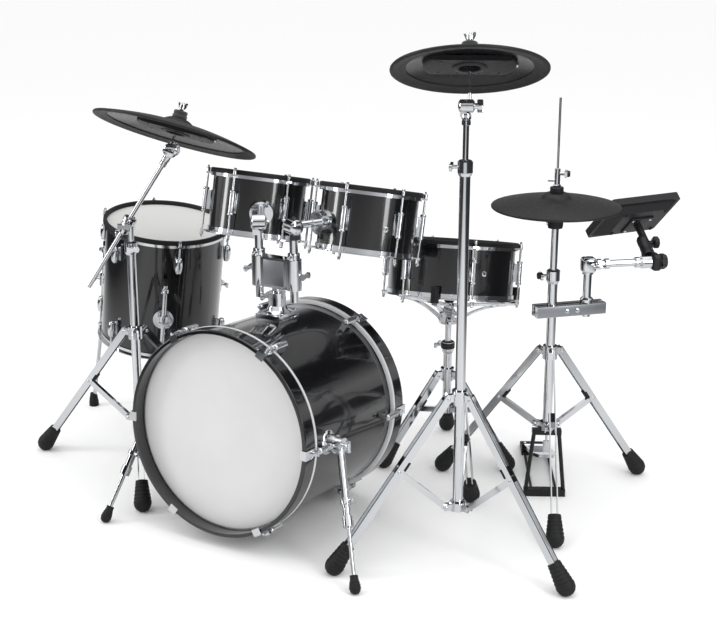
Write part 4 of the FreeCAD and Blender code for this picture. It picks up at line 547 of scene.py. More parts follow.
def repeated(name, mesh, places, body, finish, size=1.0):
    """Sets copies of a mesh at many placements, as one plain mesh on one body."""
    points = bpy.data.meshes.new(name + "_points")
    points.from_pydata([place.to_translation() for place in places], [], [])
    turn = points.attributes.new("turn", "FLOAT_VECTOR", "POINT")
    for index, place in enumerate(places):
        turn.data[index].vector = place.to_euler()
    carrier = bpy.data.objects.new(name + "_carrier", points)
    model = bpy.data.objects.new(name + "_model", mesh)
    for item in (carrier, model):
        bpy.context.scene.collection.objects.link(item)
    work = carrier.modifiers.new("places", "NODES")
    work.node_group = REPEAT
    work[INPUT_ID["Part"]] = model
    work[INPUT_ID["Finish"]] = finish
    work[INPUT_ID["Size"]] = size
    graph = bpy.context.evaluated_depsgraph_get()
    result = bpy.data.meshes.new_from_object(carrier.evaluated_get(graph), depsgraph=graph)
    carrier.modifiers.remove(work)
    for item in (carrier, model):
        bpy.data.objects.remove(item)
    shade(result)
    return piece(name, result, body, finish)


# Small parts that many units share

KEY_HEAD = joined("key_head", (round_bar("flange", 11.5, 2.4, 0.8), Matrix()),
                  (rounded_box("drive", (6.2, 6.2, 7.0), 0.7), shift(0, 0, 5.4)))
RIVET = turned("rivet", [(0, 2.4), (2.2, 2.1), (3.8, 1.2), (4.6, 0), (0, 0)], 20, closed=False)
HEXAGON = turned("hexagon", [(0, 0), (5.0, 0), (5.0, 4.6), (4.2, 5.4), (0, 5.4)], 6, closed=False)
BOLT_HEAD = joined("bolt_head", (round_bar("washer", 13, 1.6, 0.5), Matrix()), (HEXAGON, shift(0, 0, 1.5)))
TOOTH = rounded_box("tooth", (2.6, 1.5, 1.0), 0.25, 1)
EYELET = turned("eyelet", [(3.4, -1.0), (3.4, 1.2), (4.2, 2.0), (6.2, 1.5), (7.6, 0.2), (7.6, -1.0)], 28)
WING = joined("wing", (rounded_box("blade", (32, 7.0, 14), 3.0), shift(0, 0, 13)),
              (round_bar("barrel", 13, 10, 1.0), Matrix()))


def memory_lock(bore, wide, tall):
    """A split ring with its drum-key screw, that keeps a tube at its height."""
    inner, outer = bore / 2 + 0.1, bore / 2 + wide / 2
    ring = turned("lock_ring", [(inner, 0), (outer - 0.8, 0), (outer, 0.8), (outer, tall - 0.8),
                                (outer - 0.8, tall), (inner, tall)], 40)
    ear = rounded_box("lock_ear", (wide + 6, 9.0, tall), 1.0)
    return joined("memory_lock", (ring, Matrix()), (ear, shift(outer + 2, 0, tall / 2)),
                  (KEY_HEAD, shift(outer + 5, -4.0, tall / 2) @ turn_x(90)))


# In a tilting joint: from its middle back to the teeth, from a disc out to its cap, and from the cap's
# foot out to the wing screw or bolt
TEETH_BACK = 0.9
CAP_LIFT = 0.5
WING_LIFT = 3.6
BOLT_LIFT = 4.6


def barrel(name, body, top, down, bore, height):
    """A stepped sleeve at the end of a tube, whose foot is this far down from the top."""
    inner, outer = bore / 2 + 0.1, bore / 2 + 3.4
    waist = height * 0.4
    sleeve = turned("sleeve", [(inner, 0), (outer - 1, 0), (outer, 1), (outer, waist - 1),
                               (outer - 0.9, waist), (outer - 0.9, waist + 2), (outer + 0.6, waist + 3),
                               (outer + 0.6, height - 3), (outer - 0.6, height), (inner, height)], 40)
    piece(name, sleeve, body, CHROME, top @ shift(0, 0, -down))


def ratchet(name, joint, radius):
    """The ring of teeth that shows between the two discs of a tilting joint, on its fixed side."""
    place = stand_at(joint_spot(joint), joint_axis(joint))
    teeth = around(place, radius, -TEETH_BACK, range(0, 360, 15))
    repeated(name, TOOTH, teeth, JOINTS[joint]["parent"], CHROME)


def knuckle_caps(name, joint, moving_node, diameter, depth, wing=True):
    """Domed caps on both outer faces of a tilting joint, with the wing screw or bolt that locks it."""
    fixed, moving = JOINTS[joint]["parent"], JOINTS[joint]["child"]
    origin, axis = joint_spot(joint), joint_axis(joint)
    near = [point.co - origin for point in frame["nodes"][moving_node].data.vertices]
    sides = [run.dot(axis) for run in near if run.length < diameter * MM]
    if sum(sides) < 0:
        axis = -axis
    radius = diameter / 2
    dome = turned("dome", [(0, 5.2), (radius * 0.4, 4.8), (radius * 0.75, 3.0), (radius * 0.95, 0.6),
                           (radius, -0.6), (0, -0.6)], 48, closed=False)
    top = shift(0, 0, depth + CAP_LIFT)
    moving_face = stand_at(origin, axis) @ top
    piece(f"{name}_moving_cap", dome, moving, CHROME, moving_face)
    piece(f"{name}_fixed_cap", dome, fixed, CHROME, stand_at(origin, -axis) @ top)
    if wing:
        piece(f"{name}_wing", WING, moving, CHROME, moving_face @ shift(0, 0, WING_LIFT))
    else:
        piece(f"{name}_bolt", BOLT_HEAD, moving, CHROME, moving_face @ shift(0, 0, BOLT_LIFT))


# Drums

LUG_ANGLES = range(0, 360, 60)
# How far the tension rods, lug pods and lug feet stand outside a shell
ROD_OUT = 16
POD_OUT = 16.5
LUG_FOOT_OUT = 1.1
# Key heads above and below a shell, and lug caps beyond a lug's ends
KEY_ABOVE = 8.4
KEY_BELOW = 18.4
CAP_PROUD = 1.5
LUG_CAP = turned("lug_cap", [(3.2, 0), (6.2, 0), (8.2, 1.6), (8.4, 4), (7.6, 7), (7.0, 7.6), (7.0, 9),
                             (3.2, 9)], 28)
LUG_POD = turned("lug_pod", [(3.4, -23), (7.6, -21.6), (10.4, -15), (11.4, 0), (10.4, 15), (7.6, 21.6),
                             (3.4, 23)], 28, closed=False)
LONG_LUG = 64
SHORT_LUG = 46
# From a shell's edge to its short lugs
LUG_INSET = 36


def dress_heads(name, place, radius, height):
    """The mesh head on top with its turned down edge, and the film below."""
    top = height + 1.0
    head = turned("head", [(0, top - 0.1), (radius * 0.5, top - 0.05), (radius - 14, top),
                           (radius - 6, top - 0.1), (radius - 2, top - 0.4), (radius, top - 0.9),
                           (radius - 0.5, top - 1.2), (radius - 8, top - 0.7), (0, top - 0.7)],
                  96, closed=False)
    cloth = piece(f"{name}_mesh_head", head, name, MESH, place, (f"{name}_heads",))
    film = turned("film", [(0, -0.9), (radius - 8, -1.0), (radius - 1, -0.7), (radius, 0.0), (0, -0.1)],
                  96, closed=False)
    piece(f"{name}_lower_film", film, name, FILM, place)


def dress_rim(name, place, radius, height):
    """The rubber cover over the top hoop, with its seam."""
    inner, outer = radius + 0.3, radius + 10
    outside = [(outer, 0), (outer, 4), (outer - 0.4, 4.6), (outer, 5.2), (outer - 0.3, 9.8),
               (outer - 1.6, 12), (outer - 4, 13)]
    inside = [(inner + 3, 13), (inner - 0.6, 11.6), (inner - 1.6, 9), (inner - 1.4, 2), (inner - 0.4, 1.05)]
    rim = turned("rim", [(inner, 0)] + outside + inside, 96)
    piece(f"{name}_rubber_rim", rim, name, RUBBER, place @ shift(0, 0, height), (f"{name}_top_hoop",))


def dress_lugs(name, place, radius, height, angles, long_lugs):
    """Key heads at both ends of the rods, and the caps, pods and feet of the lugs."""
    rods = radius + ROD_OUT
    keys = around(place, rods, height + KEY_ABOVE, angles)
    keys += flipped(around(place, rods, -KEY_BELOW, angles))
    repeated(f"{name}_key_heads", KEY_HEAD, keys, name, CHROME)
    lug = LONG_LUG if long_lugs else SHORT_LUG
    bottoms = [(height - lug) / 2] if long_lugs else [LUG_INSET, height - LUG_INSET - lug]
    caps, pods, feet = [], [], []
    for bottom in bottoms:
        caps += around(place, rods, bottom - CAP_PROUD, angles)
        caps += flipped(around(place, rods, bottom + lug + CAP_PROUD, angles))
        pods += around(place, radius + POD_OUT, bottom + lug / 2, angles)
        feet += around(place, radius + LUG_FOOT_OUT, bottom + lug / 2, angles)
    repeated(f"{name}_lug_caps", LUG_CAP, caps, name, CHROME)
    if not long_lugs:
        repeated(f"{name}_lug_pods", LUG_POD, pods, name, CHROME)
    repeated(f"{name}_lug_feet", rounded_box("foot", (3.0, 17.0, lug * 0.86), 1.2), feet, name, CHROME)


def dress_drum(name, place, diameter, height, lug_turn, long_lugs=True):
    """All details of one drum, whose Z axis runs up from the shell's lower edge."""
    radius = diameter / 2
    dress_heads(name, place, radius, height)
    dress_rim(name, place, radius, height)
    dress_lugs(name, place, radius, height, [lug_turn + angle for angle in LUG_ANGLES], long_lugs)


def vent(name, place, diameter, height, angle):
    piece(f"{name}_vent", EYELET, name, CHROME,
          place @ turn_z(angle) @ shift(diameter / 2, 0, height) @ SIDEWAYS)


TOM_D, TOM_HEIGHT = 254, 152
TOM_LEAN = turn_x(-13.7)
for side, center, vent_angle in (("left", spot(-168, 0, 767), -60), ("right", spot(182, 0, 765), -38)):
    tom, tilt = f"tom_{side}", f"tom_{side}_tilt"
    tom_place = Matrix.Translation(center) @ TOM_LEAN @ shift(0, 0, -TOM_HEIGHT / 2)
    inward = center - joint_spot(tilt)
    dress_drum(tom, tom_place, TOM_D, TOM_HEIGHT, math.degrees(math.atan2(inward.y, inward.x)) + 30)
    ratchet(f"{tom}_ratchet", tilt, radius=18.6)
    knuckle_caps(f"{tom}_elbow", tilt, f"{tom}_hardware", diameter=40, depth=16, wing=False)
    vent(tom, tom_place, TOM_D, height=62, angle=vent_angle)

WIDE_D = 356
# Height of the floor tom's lower edge, and of the snare's above its tilting joint
FLOOR_TOM_BASE = 277
SNARE_BASE = 57
floor_place = stand_at(spot(*FLOOR_TOM_AT, FLOOR_TOM_BASE), lean(8.56, -10.7))
dress_drum("floor_tom", floor_place, WIDE_D, height=356, lug_turn=20, long_lugs=False)
basket = stand_at(joint_spot("snare_tilt"), lean(13, 105))
snare_place = basket @ shift(0, 0, SNARE_BASE)
dress_drum("snare", snare_place, WIDE_D, height=140, lug_turn=15)
vent("snare", snare_place, WIDE_D, height=66, angle=-33)


# Bass drum, whose Z axis runs from the batter side to the front

BASS_LENGTH = 479.0
BASS_HOOP_RADIUS = 266.5
BASS_HEAD_RADIUS = 255.5
BASS_ROD_RADIUS = 273
BASS_KEY_Z = 452.5
BASS_LUG_ENDS = (385.4, 424.6)
# The batter side's place in the floor plan, and by how many degrees the front is tipped up
BASS_BACK_Y = -6
BASS_TIP = 3.95
bass_middle = BASS_HOOP_RADIUS * math.cos(math.radians(BASS_TIP))
bass_place = Matrix.Translation(spot(BASS_X, BASS_BACK_Y, bass_middle)) @ turn_x(90 - BASS_TIP)
bass_back = bass_place @ shift(0, 0, BASS_LENGTH) @ UPSIDE_DOWN
front_film = turned("front_film", [(0, 443.3), (190, 443.4), (244, 443.2), (252, 442.8),
                                   (BASS_HEAD_RADIUS, 441.6), (BASS_HEAD_RADIUS, 440.8), (0, 442.4)],
                    128, closed=False)
piece("bass_front_film", front_film, "stands", FILM, bass_place, ("bass_heads",))
batter = turned("batter", [(0, 36.4), (244, 36.4), (BASS_HEAD_RADIUS, 37.8), (BASS_HEAD_RADIUS, 37.0),
                           (250, 36.0), (240, 35.5), (0, 35.4)], 128, closed=False)
batter_mesh = piece("bass_batter_mesh", batter, "stands", UPRIGHT_MESH, bass_place)
FLESH_RING = turned("flesh_ring", [(256, 428), (264.5, 427.6), (266.6, 428.6), (267.4, 431.4),
                                   (266.8, 434.4), (265, 435.4), (256, 435.4)], 160)
LUG_DOME = turned("lug_dome", [(3.6, 0), (8.7, 0), (8.5, 2.6), (7.2, 5.2), (5.4, 6.8), (3.6, 7.2)], 28)
keys, domes = [], []
for end, name in ((bass_place, "bass_front_ring"), (bass_back, "bass_back_ring")):
    piece(name, FLESH_RING, "stands", SILVER, end)
    keys += around(end, BASS_ROD_RADIUS, BASS_KEY_Z, LUG_ANGLES)
    domes += around(end, BASS_ROD_RADIUS, BASS_LUG_ENDS[1], LUG_ANGLES)
    domes += flipped(around(end, BASS_ROD_RADIUS, BASS_LUG_ENDS[0], LUG_ANGLES))
repeated("bass_key_heads", KEY_HEAD, keys, "stands", CHROME)
repeated("bass_lug_domes", LUG_DOME, domes, "stands", CHROME)


# Pad cymbals

# Heading of the long side of a cymbal's sensor tray, and half its width
TRAY_HEADING = 31
TRAY_HALF = 54
# Width of the rubber that is wrapped round under the edge
WRAP = 36
TRAY = turned("tray", [(25.6, -6), (25.6, -19), (27, -20.2), (98, -20.2), (104, -19.4), (106.5, -17.5),
                       (107, -8), (25.6, -4)], 128,
              reach=lambda angle: TRAY_HALF / max(abs(math.cos(angle)), 1e-6))
TRAY_BOSS = turned("tray_boss", [(25.8, -19.8), (25.8, -22.4), (27, -23.4), (38, -23.4), (40, -22.2),
                                 (40.6, -19.8)], 64)
FELT_STACK = turned("felt_stack", [(11.2, 19.2), (19, 19.2), (20, 20.4), (20, 26.4), (19, 27.6), (15.5, 28.0),
                                   (15.5, 29.2), (18, 29.6), (18.6, 30.6), (18.6, 37.2), (17.6, 38.6),
                                   (11.2, 38.8)], 48)
# The tray's screws, aside and along from its middle on its lower face, and the jack at its end
SCREW_ASIDE = 42
SCREW_ROWS = (70, 24)
SCREW_Z = -20
JACK_AT = (0, 105.5, -13.5)
PAD_JACK = turned("pad_jack", [(3.4, 0), (5.6, 0), (5.6, 4.2), (5.0, 5), (3.4, 5)], 24)
STEM_SLEEVE = turned("stem_sleeve", [(4.1, 18), (5.6, 18), (5.6, 43), (4.1, 43)], 24)
FELT_BALL = turned("felt_ball", [(4.2, -15.9), (10, -12.7), (14.6, -7.2), (16.2, 0), (14.6, 7.2),
                                 (10.3, 12.3), (4.2, 15.8)], 40, closed=False)


def dress_cymbal(name, place, diameter):
    """Grooved rubber top with its wrapped edge, the stepped plate below, sensor tray, felts and jack."""
    radius = diameter / 2
    wrap = radius - WRAP
    bell = [(11, 19)] + arc((12, 19.2), (46, 4.0), 4.2, 10)
    bow = arc((49, 3.0), (radius - 4, -22.6), 4.3, 26)[1:]
    edge = [(radius - 1.6, -23.2), (radius - 0.3, -24.8), (radius, -26.6), (radius - 0.6, -28.6),
            (radius - 2.4, -29.8), (radius - 5, -30.1)]
    under = arc((radius - 8, -29.8), (wrap, -23.4), 0.8, 5) + [(wrap - 0.8, -22.6), (wrap - 1.2, -20.6)]
    pad = turned("pad", bell + bow + edge + under, 128, closed=False)
    piece(f"{name}_pad", pad, name, PAD, place, (name,))
    bow_below = arc((wrap - 0.6, -20.8), (52, -5.4), 3.4, 14)
    bell_below = [(48, -4.2)] + arc((47, -3.6), (11.5, 11.8), 3.6, 8)
    plate = turned("plate", bow_below + bell_below, 128, closed=False)
    piece(f"{name}_plate", plate, name, GLOSS_PLASTIC, place)
    tray_place = place @ turn_z(TRAY_HEADING - 90)
    tray = joined("tray_and_boss", (TRAY, Matrix()), (TRAY_BOSS, Matrix()))
    piece(f"{name}_tray", tray, name, PLASTIC, tray_place)
    screws = [screw for row in SCREW_ROWS for screw in corners(tray_place, SCREW_ASIDE, row, SCREW_Z)]
    repeated(f"{name}_tray_screws", RIVET, flipped(screws), name, GLOSS_PLASTIC, size=0.8)
    piece(f"{name}_jack", PAD_JACK, name, CHROME, tray_place @ shift(*JACK_AT) @ turn_x(-90))
    piece(f"{name}_felts", FELT_STACK, name, FELT, place)


for name, lean_by, heading, diameter in (("crash", 24, 119.5, 366), ("ride", 23.5, 80.7, 446)):
    seat = stand_at(joint_spot(f"{name}_swing"), lean(lean_by, heading))
    dress_cymbal(f"{name}_cymbal", seat, diameter)
    piece(f"{name}_stem_sleeve", STEM_SLEEVE, f"{name}_tilter", PLASTIC, seat)
    piece(f"{name}_felt_seat", FELT_BALL, f"{name}_tilter", FELT, seat)


# Tilting joints of the stands

TILTER_DEPTH = 14
TILTER_TEETH = 13.6
for name, teeth, joint, node, width in (
        ("crash_tilter", "crash_tilter_ratchet", "crash_tilt", "crash_tilter", 30),
        ("ride_tilter", "ride_tilter_ratchet", "ride_tilt", "ride_tilter", 40),
        ("ride_clamp", "ride_boom_ratchet", "ride_boom_tilt", "ride_boom_clamp", 30),
        ("snare_basket", "snare_ratchet", "snare_tilt", "snare_basket", 30)):
    ratchet(teeth, joint, TILTER_TEETH)
    knuckle_caps(name, joint, node, width, TILTER_DEPTH)
ratchet("module_ratchet", "module_tilt", radius=15.6)

BOOM_WAY = lean(33, 22)
crash_top = stand_at(joint_spot("crash_tilt"))
boom_top = stand_at(joint_spot("ride_tilt"), BOOM_WAY)
barrel("crash_tilter_barrel", "crash_tube", crash_top, down=43.4, bore=14, height=27)
barrel("ride_tilter_barrel", "ride_boom", boom_top, down=52, bore=13, height=35)

# The boom runs beside its tilting joint, at this distance and heading
BOOM_ASIDE = 31.15
BOOM_ASIDE_HEADING = -68
boom_middle = joint_spot("ride_boom_tilt") + lean(90, BOOM_ASIDE_HEADING) * BOOM_ASIDE * MM
BOOM_COLLAR = turned("boom_collar", [(12.6, 10.5), (16.4, 10.5), (17.6, 11.6), (17.6, 21.2), (16.2, 22.8),
                                     (12.6, 22.8)], 48)
boom_collars = joined("boom_collars", (BOOM_COLLAR, Matrix()), (BOOM_COLLAR, UPSIDE_DOWN))
piece("ride_boom_collars", boom_collars, "ride_clamp", CHROME, stand_at(boom_middle, BOOM_WAY))


# Hi-hat

hat_top = [(3.6, 41), (20, 41), (25, 40.6)] + arc((26, 40.2), (41, 27.8), 2.6, 8)
hat_top += arc((43, 26.8), (164, 7.2), 3.3, 24)[1:]
hat_edge = [(166.6, 6.4), (167.7, 5), (168, 3.4), (167.4, 1.4), (165.6, 0.1), (163, 0.0)]
hat_under = arc((160, 0.6), (130, 5.0), 0.6, 5) + arc((129, 6.2), (49, 17.0), 2.6, 10)
hat_under += [(47, 16.6), (46.8, 0.4), (3.6, 0.3)]
hat = turned("hat", hat_top + hat_edge + hat_under, 128, closed=False)
piece("hihat_playing_pad", hat, "hihat_clutch", PAD, on_stand("hihat", height=806), ("hihat_pad",))
cup = turned("cup", [(7.7, 0.1), (17.2, 0.1), (17.6, 1.2), (17.6, 6.6), (17.0, 7.2), (17.6, 7.8),
                     (17.6, 13.2), (16.6, 14.4), (7.7, 14.4)], 48)
piece("hihat_clutch_cup", cup, "hihat_clutch", PLASTIC, on_stand("hihat", height=847))
nut = turned("nut", [(7.6, 0), (11, 0), (11, 5), (10, 6), (7.6, 6)], 6)
piece("hihat_clutch_nut", nut, "hihat_clutch", CHROME, on_stand("hihat", height=862))
piece("hihat_clutch_knob", knob(diameter=17, depth=15, lobes=6), "hihat_clutch", PLASTIC,
      on_stand("hihat", height=896.6, heading=20, out=17.5) @ SIDEWAYS)
piece("hihat_clamp_knob", knob(diameter=19, depth=15, lobes=6), "stands", PLASTIC,
      on_stand("hihat", height=625.4, heading=215, out=27.5) @ SIDEWAYS)
sleeve = turned("sleeve", [(19.1, 4), (20.2, 4.4), (20.2, 22), (19.1, 22.4)], 48)
piece("hihat_controller_sleeve", sleeve, "hihat_tube", RUBBER, on_stand("hihat", height=754))
socket = turned("socket", [(3.4, 0), (5.6, 0), (5.6, 4), (5.0, 4.6), (3.4, 4.6)], 24)
piece("hihat_controller_jack", socket, "hihat_tube", CHROME,
      on_stand("hihat", height=766, heading=200, out=18.6) @ SIDEWAYS)


# Tripods with their rivets, bumpers and boots

# The legs' and braces' pins stand this far from the tube's middle
PIN_OUT = 32.7
# Where a leg ends in its boot: short of the foot's reach, and above the floor
BOOT_BACK = 11.5
BOOT_HEIGHT = 22
# Half a pin's length, and the bumper's place from the brace's seat: back up the leg and under it
PIN_HALF = 9.1
BUMPER_BACK = 22
BUMPER_UNDER = 9.0


def tripod(name, collar_z, hub_z, foot_radius, heading, seat):
    """Placement of each leg, with its joints as points of the leg's own upright plane, in mm."""
    pivot = Vector((PIN_OUT, 0, collar_z))
    end = Vector((foot_radius - BOOT_BACK, 0, BOOT_HEIGHT))
    run = (end - pivot).normalized()
    return {"legs": [on_stand(name, 0, heading + step) for step in THIRDS], "pivot": pivot,
            "root": Vector((PIN_OUT, 0, hub_z)), "end": end, "run": run, "seat": pivot + run * seat}


TRIPODS = {
    "crash": tripod("crash", collar_z=420, hub_z=135, foot_radius=333, heading=110, seat=214),
    "ride": tripod("ride", collar_z=402, hub_z=144, foot_radius=333, heading=70, seat=205),
    "snare": tripod("snare", collar_z=255, hub_z=150, foot_radius=215, heading=-3.3, seat=112),
    "hihat": tripod("hihat", collar_z=415, hub_z=206, foot_radius=330, heading=58.5, seat=190),
}


def boot_profile():
    """A ribbed rubber boot: round tail below the leg's end, ribs up to the neck and a rolled lip."""
    profile = [(0, -23.4), (9.2, -21.8), (16.8, -16.8), (21.9, -9), (23.8, 0), (23.9, 5)]
    for rib in range(5):
        base = 8 + rib * 10
        radius = 23.3 - base / 61 * 8
        profile += [(radius + 1.3, base - 1), (radius + 0.4, base), (radius + 0.1, base + 3),
                    (radius + 1.0, base + 4)]
    return profile + [(16.6, 58), (17.0, 60), (16.2, 61.8), (0, 61.8)]


BOOT = turned("boot", boot_profile(), 48, closed=False)
BUMPER = rounded_box("bumper", (8.0, 19.5, 26.0), 2.2)


def boot_place(stand, leg):
    return leg @ Matrix.Translation(stand["end"] * MM) @ toward(-stand["run"])


def rivets(leg, point):
    """Both ends of a pin that runs across a leg's upright plane."""
    return [leg @ shift(point.x, side * PIN_HALF, point.z) @ turn_x(-90 * side) for side in (-1, 1)]


def bumper_place(stand, leg):
    """Where the rubber stop sits under a leg, up from the brace's joint."""
    place = stand["seat"] - stand["run"] * BUMPER_BACK
    above = stand["run"].cross(Vector((0, 1, 0)))
    return leg @ Matrix.Translation((place - above * BUMPER_UNDER) * MM) @ toward(stand["run"])


loose_feet = []
for name, stand in TRIPODS.items():
    for index, leg in enumerate(stand["legs"], start=1):
        body = f"crash_leg_{index}" if name == "crash" else "stands"
        ends = rivets(leg, stand["pivot"]) + rivets(leg, stand["seat"])
        repeated(f"{name}_leg_{index}_rivets", RIVET, ends, body, CHROME)
        repeated(f"{name}_hub_{index}_rivets", RIVET, rivets(leg, stand["root"]), "stands", CHROME)
        piece(f"{name}_leg_{index}_bumper", BUMPER, body, RUBBER, bumper_place(stand, leg))
        if name == "crash":
            piece(f"crash_boot_{index}", flattened(BOOT, boot_place(stand, leg)), body, RUBBER)
        else:
            loose_feet.append((BOOT, boot_place(stand, leg)))


# Floor tom's legs

FLOOR_FOOT = turned("floor_foot", [(0, 0), (14.2, 0), (15.2, 1), (15.2, 5), (14.4, 6), (15.2, 7), (15.1, 14),
                                   (13.8, 21), (14.0, 23), (12.6, 28), (12.8, 30), (10.6, 41),
                                   (10.2, 42.4), (0, 42.4)], 40, closed=False)
LEG_CAP = turned("leg_cap", [(0, 0), (7.8, 0), (7.8, 10), (6.6, 13), (0, 13.4)], 32, closed=False)
FLOOR_ANGLES = [189.7 + step for step in THIRDS]
# The legs' distance from the middle, at the brackets and at the feet
BRACKET_OUT = 205
FOOT_OUT = 252
# Heights of the legs' top caps and of their locks above the shell's lower edge
LEG_TOP = 240
LEG_LOCK = 216
for angle in FLOOR_ANGLES:
    foot = spot(*FLOOR_TOM_AT, 0) + lean(90, angle) * FOOT_OUT * MM
    loose_feet.append((FLOOR_FOOT, Matrix.Translation(foot)))
loose_feet += [(LEG_CAP, place) for place in around(floor_place, BRACKET_OUT, LEG_TOP, FLOOR_ANGLES)]
piece("stand_rubber_feet", flattened(joined("loose_feet", *loose_feet)), "stands", RUBBER,
      replaced=("rubber_feet",))
repeated("floor_leg_locks", memory_lock(bore=12.7, wide=8.0, tall=13.0),
         around(floor_place, BRACKET_OUT, LEG_LOCK, FLOOR_ANGLES), "stands", CHROME)


# Clamp bushings where the inner tubes slide

for name, height, bore in (("crash", 996, 14.2), ("ride", 662, 19.2), ("snare", 352, 19.2),
                           ("hihat", 639, 19.2)):
    clamp_top = on_stand(name, height)
    bush = turned("bush", [(bore / 2, -1), (15.6, -1), (15.6, 1.6), (14.4, 2.6), (bore / 2, 2.6)], 48)
    piece(f"{name}_clamp_bushing", bush, "stands", PLASTIC, clamp_top)
    if name == "snare":
        band = turned("band", [(18.0, -19), (19, -19), (20, -18), (20, -3), (19, -2), (18.0, -2)], 48)
        piece("snare_clamp_band", band, "stands", PLASTIC, clamp_top)


# Spurs of the bass drum

TIP = turned("tip", [(0, -13.5), (6.9, -11.8), (11.6, -7.4), (13.6, 0), (14.4, 1), (14.2, 4), (13.3, 5),
                     (13.1, 6.6), (13.8, 7.6), (13.4, 10.6), (12.4, 11.6), (12.0, 13), (12.6, 14),
                     (12.2, 16.6), (11.2, 17.6), (9.6, 27), (10.2, 29), (9.8, 32), (0, 32.6)],
             40, closed=False)
BOSS_SKIRT = turned("boss_skirt", [(22.8, -4), (31, -4), (32, -2.4), (30, 1.5), (26, 4), (22.8, 6)], 48)
SPUR_LOCK = memory_lock(bore=19, wide=9.0, tall=12.0)
# From the folding joint: out to the tube, out to the wing nut, and forward to the foot
HIP_OUT = 34.3
NUT_OUT = 44.6
FOOT_FORWARD = 166
FOOT_HEIGHT = 13
# From the hip down the tube to its lock
LOCK_DOWN = 150
for name, side, reach in (("left", -1, 334), ("right", 1, 431)):
    body = f"spur_{name}"
    start = joint_spot(f"{body}_fold")
    outward = Vector((side, 0, 0))
    hip = start + outward * HIP_OUT * MM
    foot = Vector((spot(BASS_X + side * reach, 0, 0).x, start.y - FOOT_FORWARD * MM, FOOT_HEIGHT * MM))
    down = (foot - hip).normalized()
    piece(f"{body}_rubber_tip", flattened(TIP, stand_at(foot, -down)), body, RUBBER)
    piece(f"{body}_wing_nut", WING, body, CHROME, stand_at(start + outward * NUT_OUT * MM, outward))
    piece(f"{body}_lock", SPUR_LOCK, body, CHROME, stand_at(hip + down * LOCK_DOWN * MM, -down))
    piece(f"{body}_boss_skirt", BOSS_SKIRT, "stands", CHROME, stand_at(start, outward))


# Tom holder

HOLDER_AT = (BASS_X, -203, 534.1)
HOLDER = Matrix.Translation(spot(*HOLDER_AT))
HOLDER_SKIRT = turned("holder_skirt", [(23.1, 13.6), (36, 13.6), (36.6, 14.6), (31, 18), (27, 23),
                                       (24.6, 30), (23.1, 32)], 56)
HOLDER_PANEL = rounded_box("holder_panel", (62, 2.0, 66), 0.8)
ARM_LOCK = memory_lock(bore=22, wide=10.0, tall=15.0)
# The holder's panels and the arms' locks stand this far from its middle, at these heights
PANEL_OUT, PANEL_Z = 15.2, 118.9
ARM_OUT, ARM_LOCK_Z = 53.5, 159.4
piece("holder_skirt", HOLDER_SKIRT, "stands", CHROME, HOLDER)
holder_bolts = corners(HOLDER, half_x=30, half_y=38, height=14)
repeated("holder_bolts", BOLT_HEAD, holder_bolts, "stands", CHROME, size=0.8)
for face, side in (("front", -1), ("back", 1)):
    piece(f"holder_{face}_panel", HOLDER_PANEL, "tom_holder", ALUMINIUM,
          HOLDER @ shift(0, side * PANEL_OUT, PANEL_Z))
for name, side in (("left", -1), ("right", 1)):
    piece(f"tom_arm_{name}_lock", ARM_LOCK, f"tom_arm_{name}", CHROME,
          HOLDER @ shift(side * ARM_OUT, 0, ARM_LOCK_Z) @ turn_z(-70))


# Snare basket

def grip_profile():
    """A ribbed rubber sleeve with a closed top."""
    profile = [(10.1, -0.4), (11.4, 0), (11.6, 2)]
    for rib in range(5):
        base = 4 + rib * 8
        profile += [(11.6, base), (10.9, base + 1.2), (10.9, base + 3.2), (11.6, base + 4.4)]
    return profile + [(11.4, 43.4), (10.2, 44.4), (0, 44.6)]


BASKET_ANGLES = [45 + step for step in THIRDS]
# Distances from the axis, with heights: the grips, and both ends of the struts with the bow between them
GRIP_AT = (199.8, 37.7)
STRUT_TOP = (172, 29)
STRUT_FOOT = (27, -24)
STRUT_BOW = 11
BASKET_KNOB_Z = 29
GRIP = joined("grip", (turned("grip_sleeve", grip_profile(), 36, closed=False), Matrix()),
              (rounded_box("lip", (16, 15, 5), 1.8), shift(-9, 0, 17.5)))
for index, place in enumerate(around(basket, *GRIP_AT, BASKET_ANGLES), start=1):
    piece(f"basket_grip_{index}", GRIP, "snare", RUBBER, place)
piece("basket_knob", knob(diameter=30, depth=20, lobes=8), "snare", PLASTIC,
      basket @ shift(0, 0, BASKET_KNOB_Z))
# The struts start at a ring round the upright tube, so both are built on the tube's own axis
upright = stand_at(joint_spot("snare_tilt"))
struts = []
for place in around(basket, *STRUT_TOP, BASKET_ANGLES):
    end = upright.inverted() @ place.to_translation() / MM
    path = arc(STRUT_FOOT, (math.hypot(end.x, end.y), end.z), STRUT_BOW, 14)
    strut = strap("strut", path, width=15, sheet=4.5)
    struts.append((strut, turn_z(math.degrees(math.atan2(end.y, end.x)))))
piece("basket_struts", joined("struts", *struts), "snare", CHROME, upright)
yoke = turned("yoke", [(21, -29), (26, -29), (28, -27.4), (28, -20.6), (26, -19), (21, -19)], 56)
piece("basket_yoke", yoke, "snare", CHROME, upright)


# Hi-hat pedal

PEDAL = on_stand("hihat", height=0, heading=118.5)
# The footboard's toe and the heel plate's top, out from the tube along the pedal
PEDAL_TOE = (-7, 0, 118)
HEEL_PLATE = (331, 0, 15)
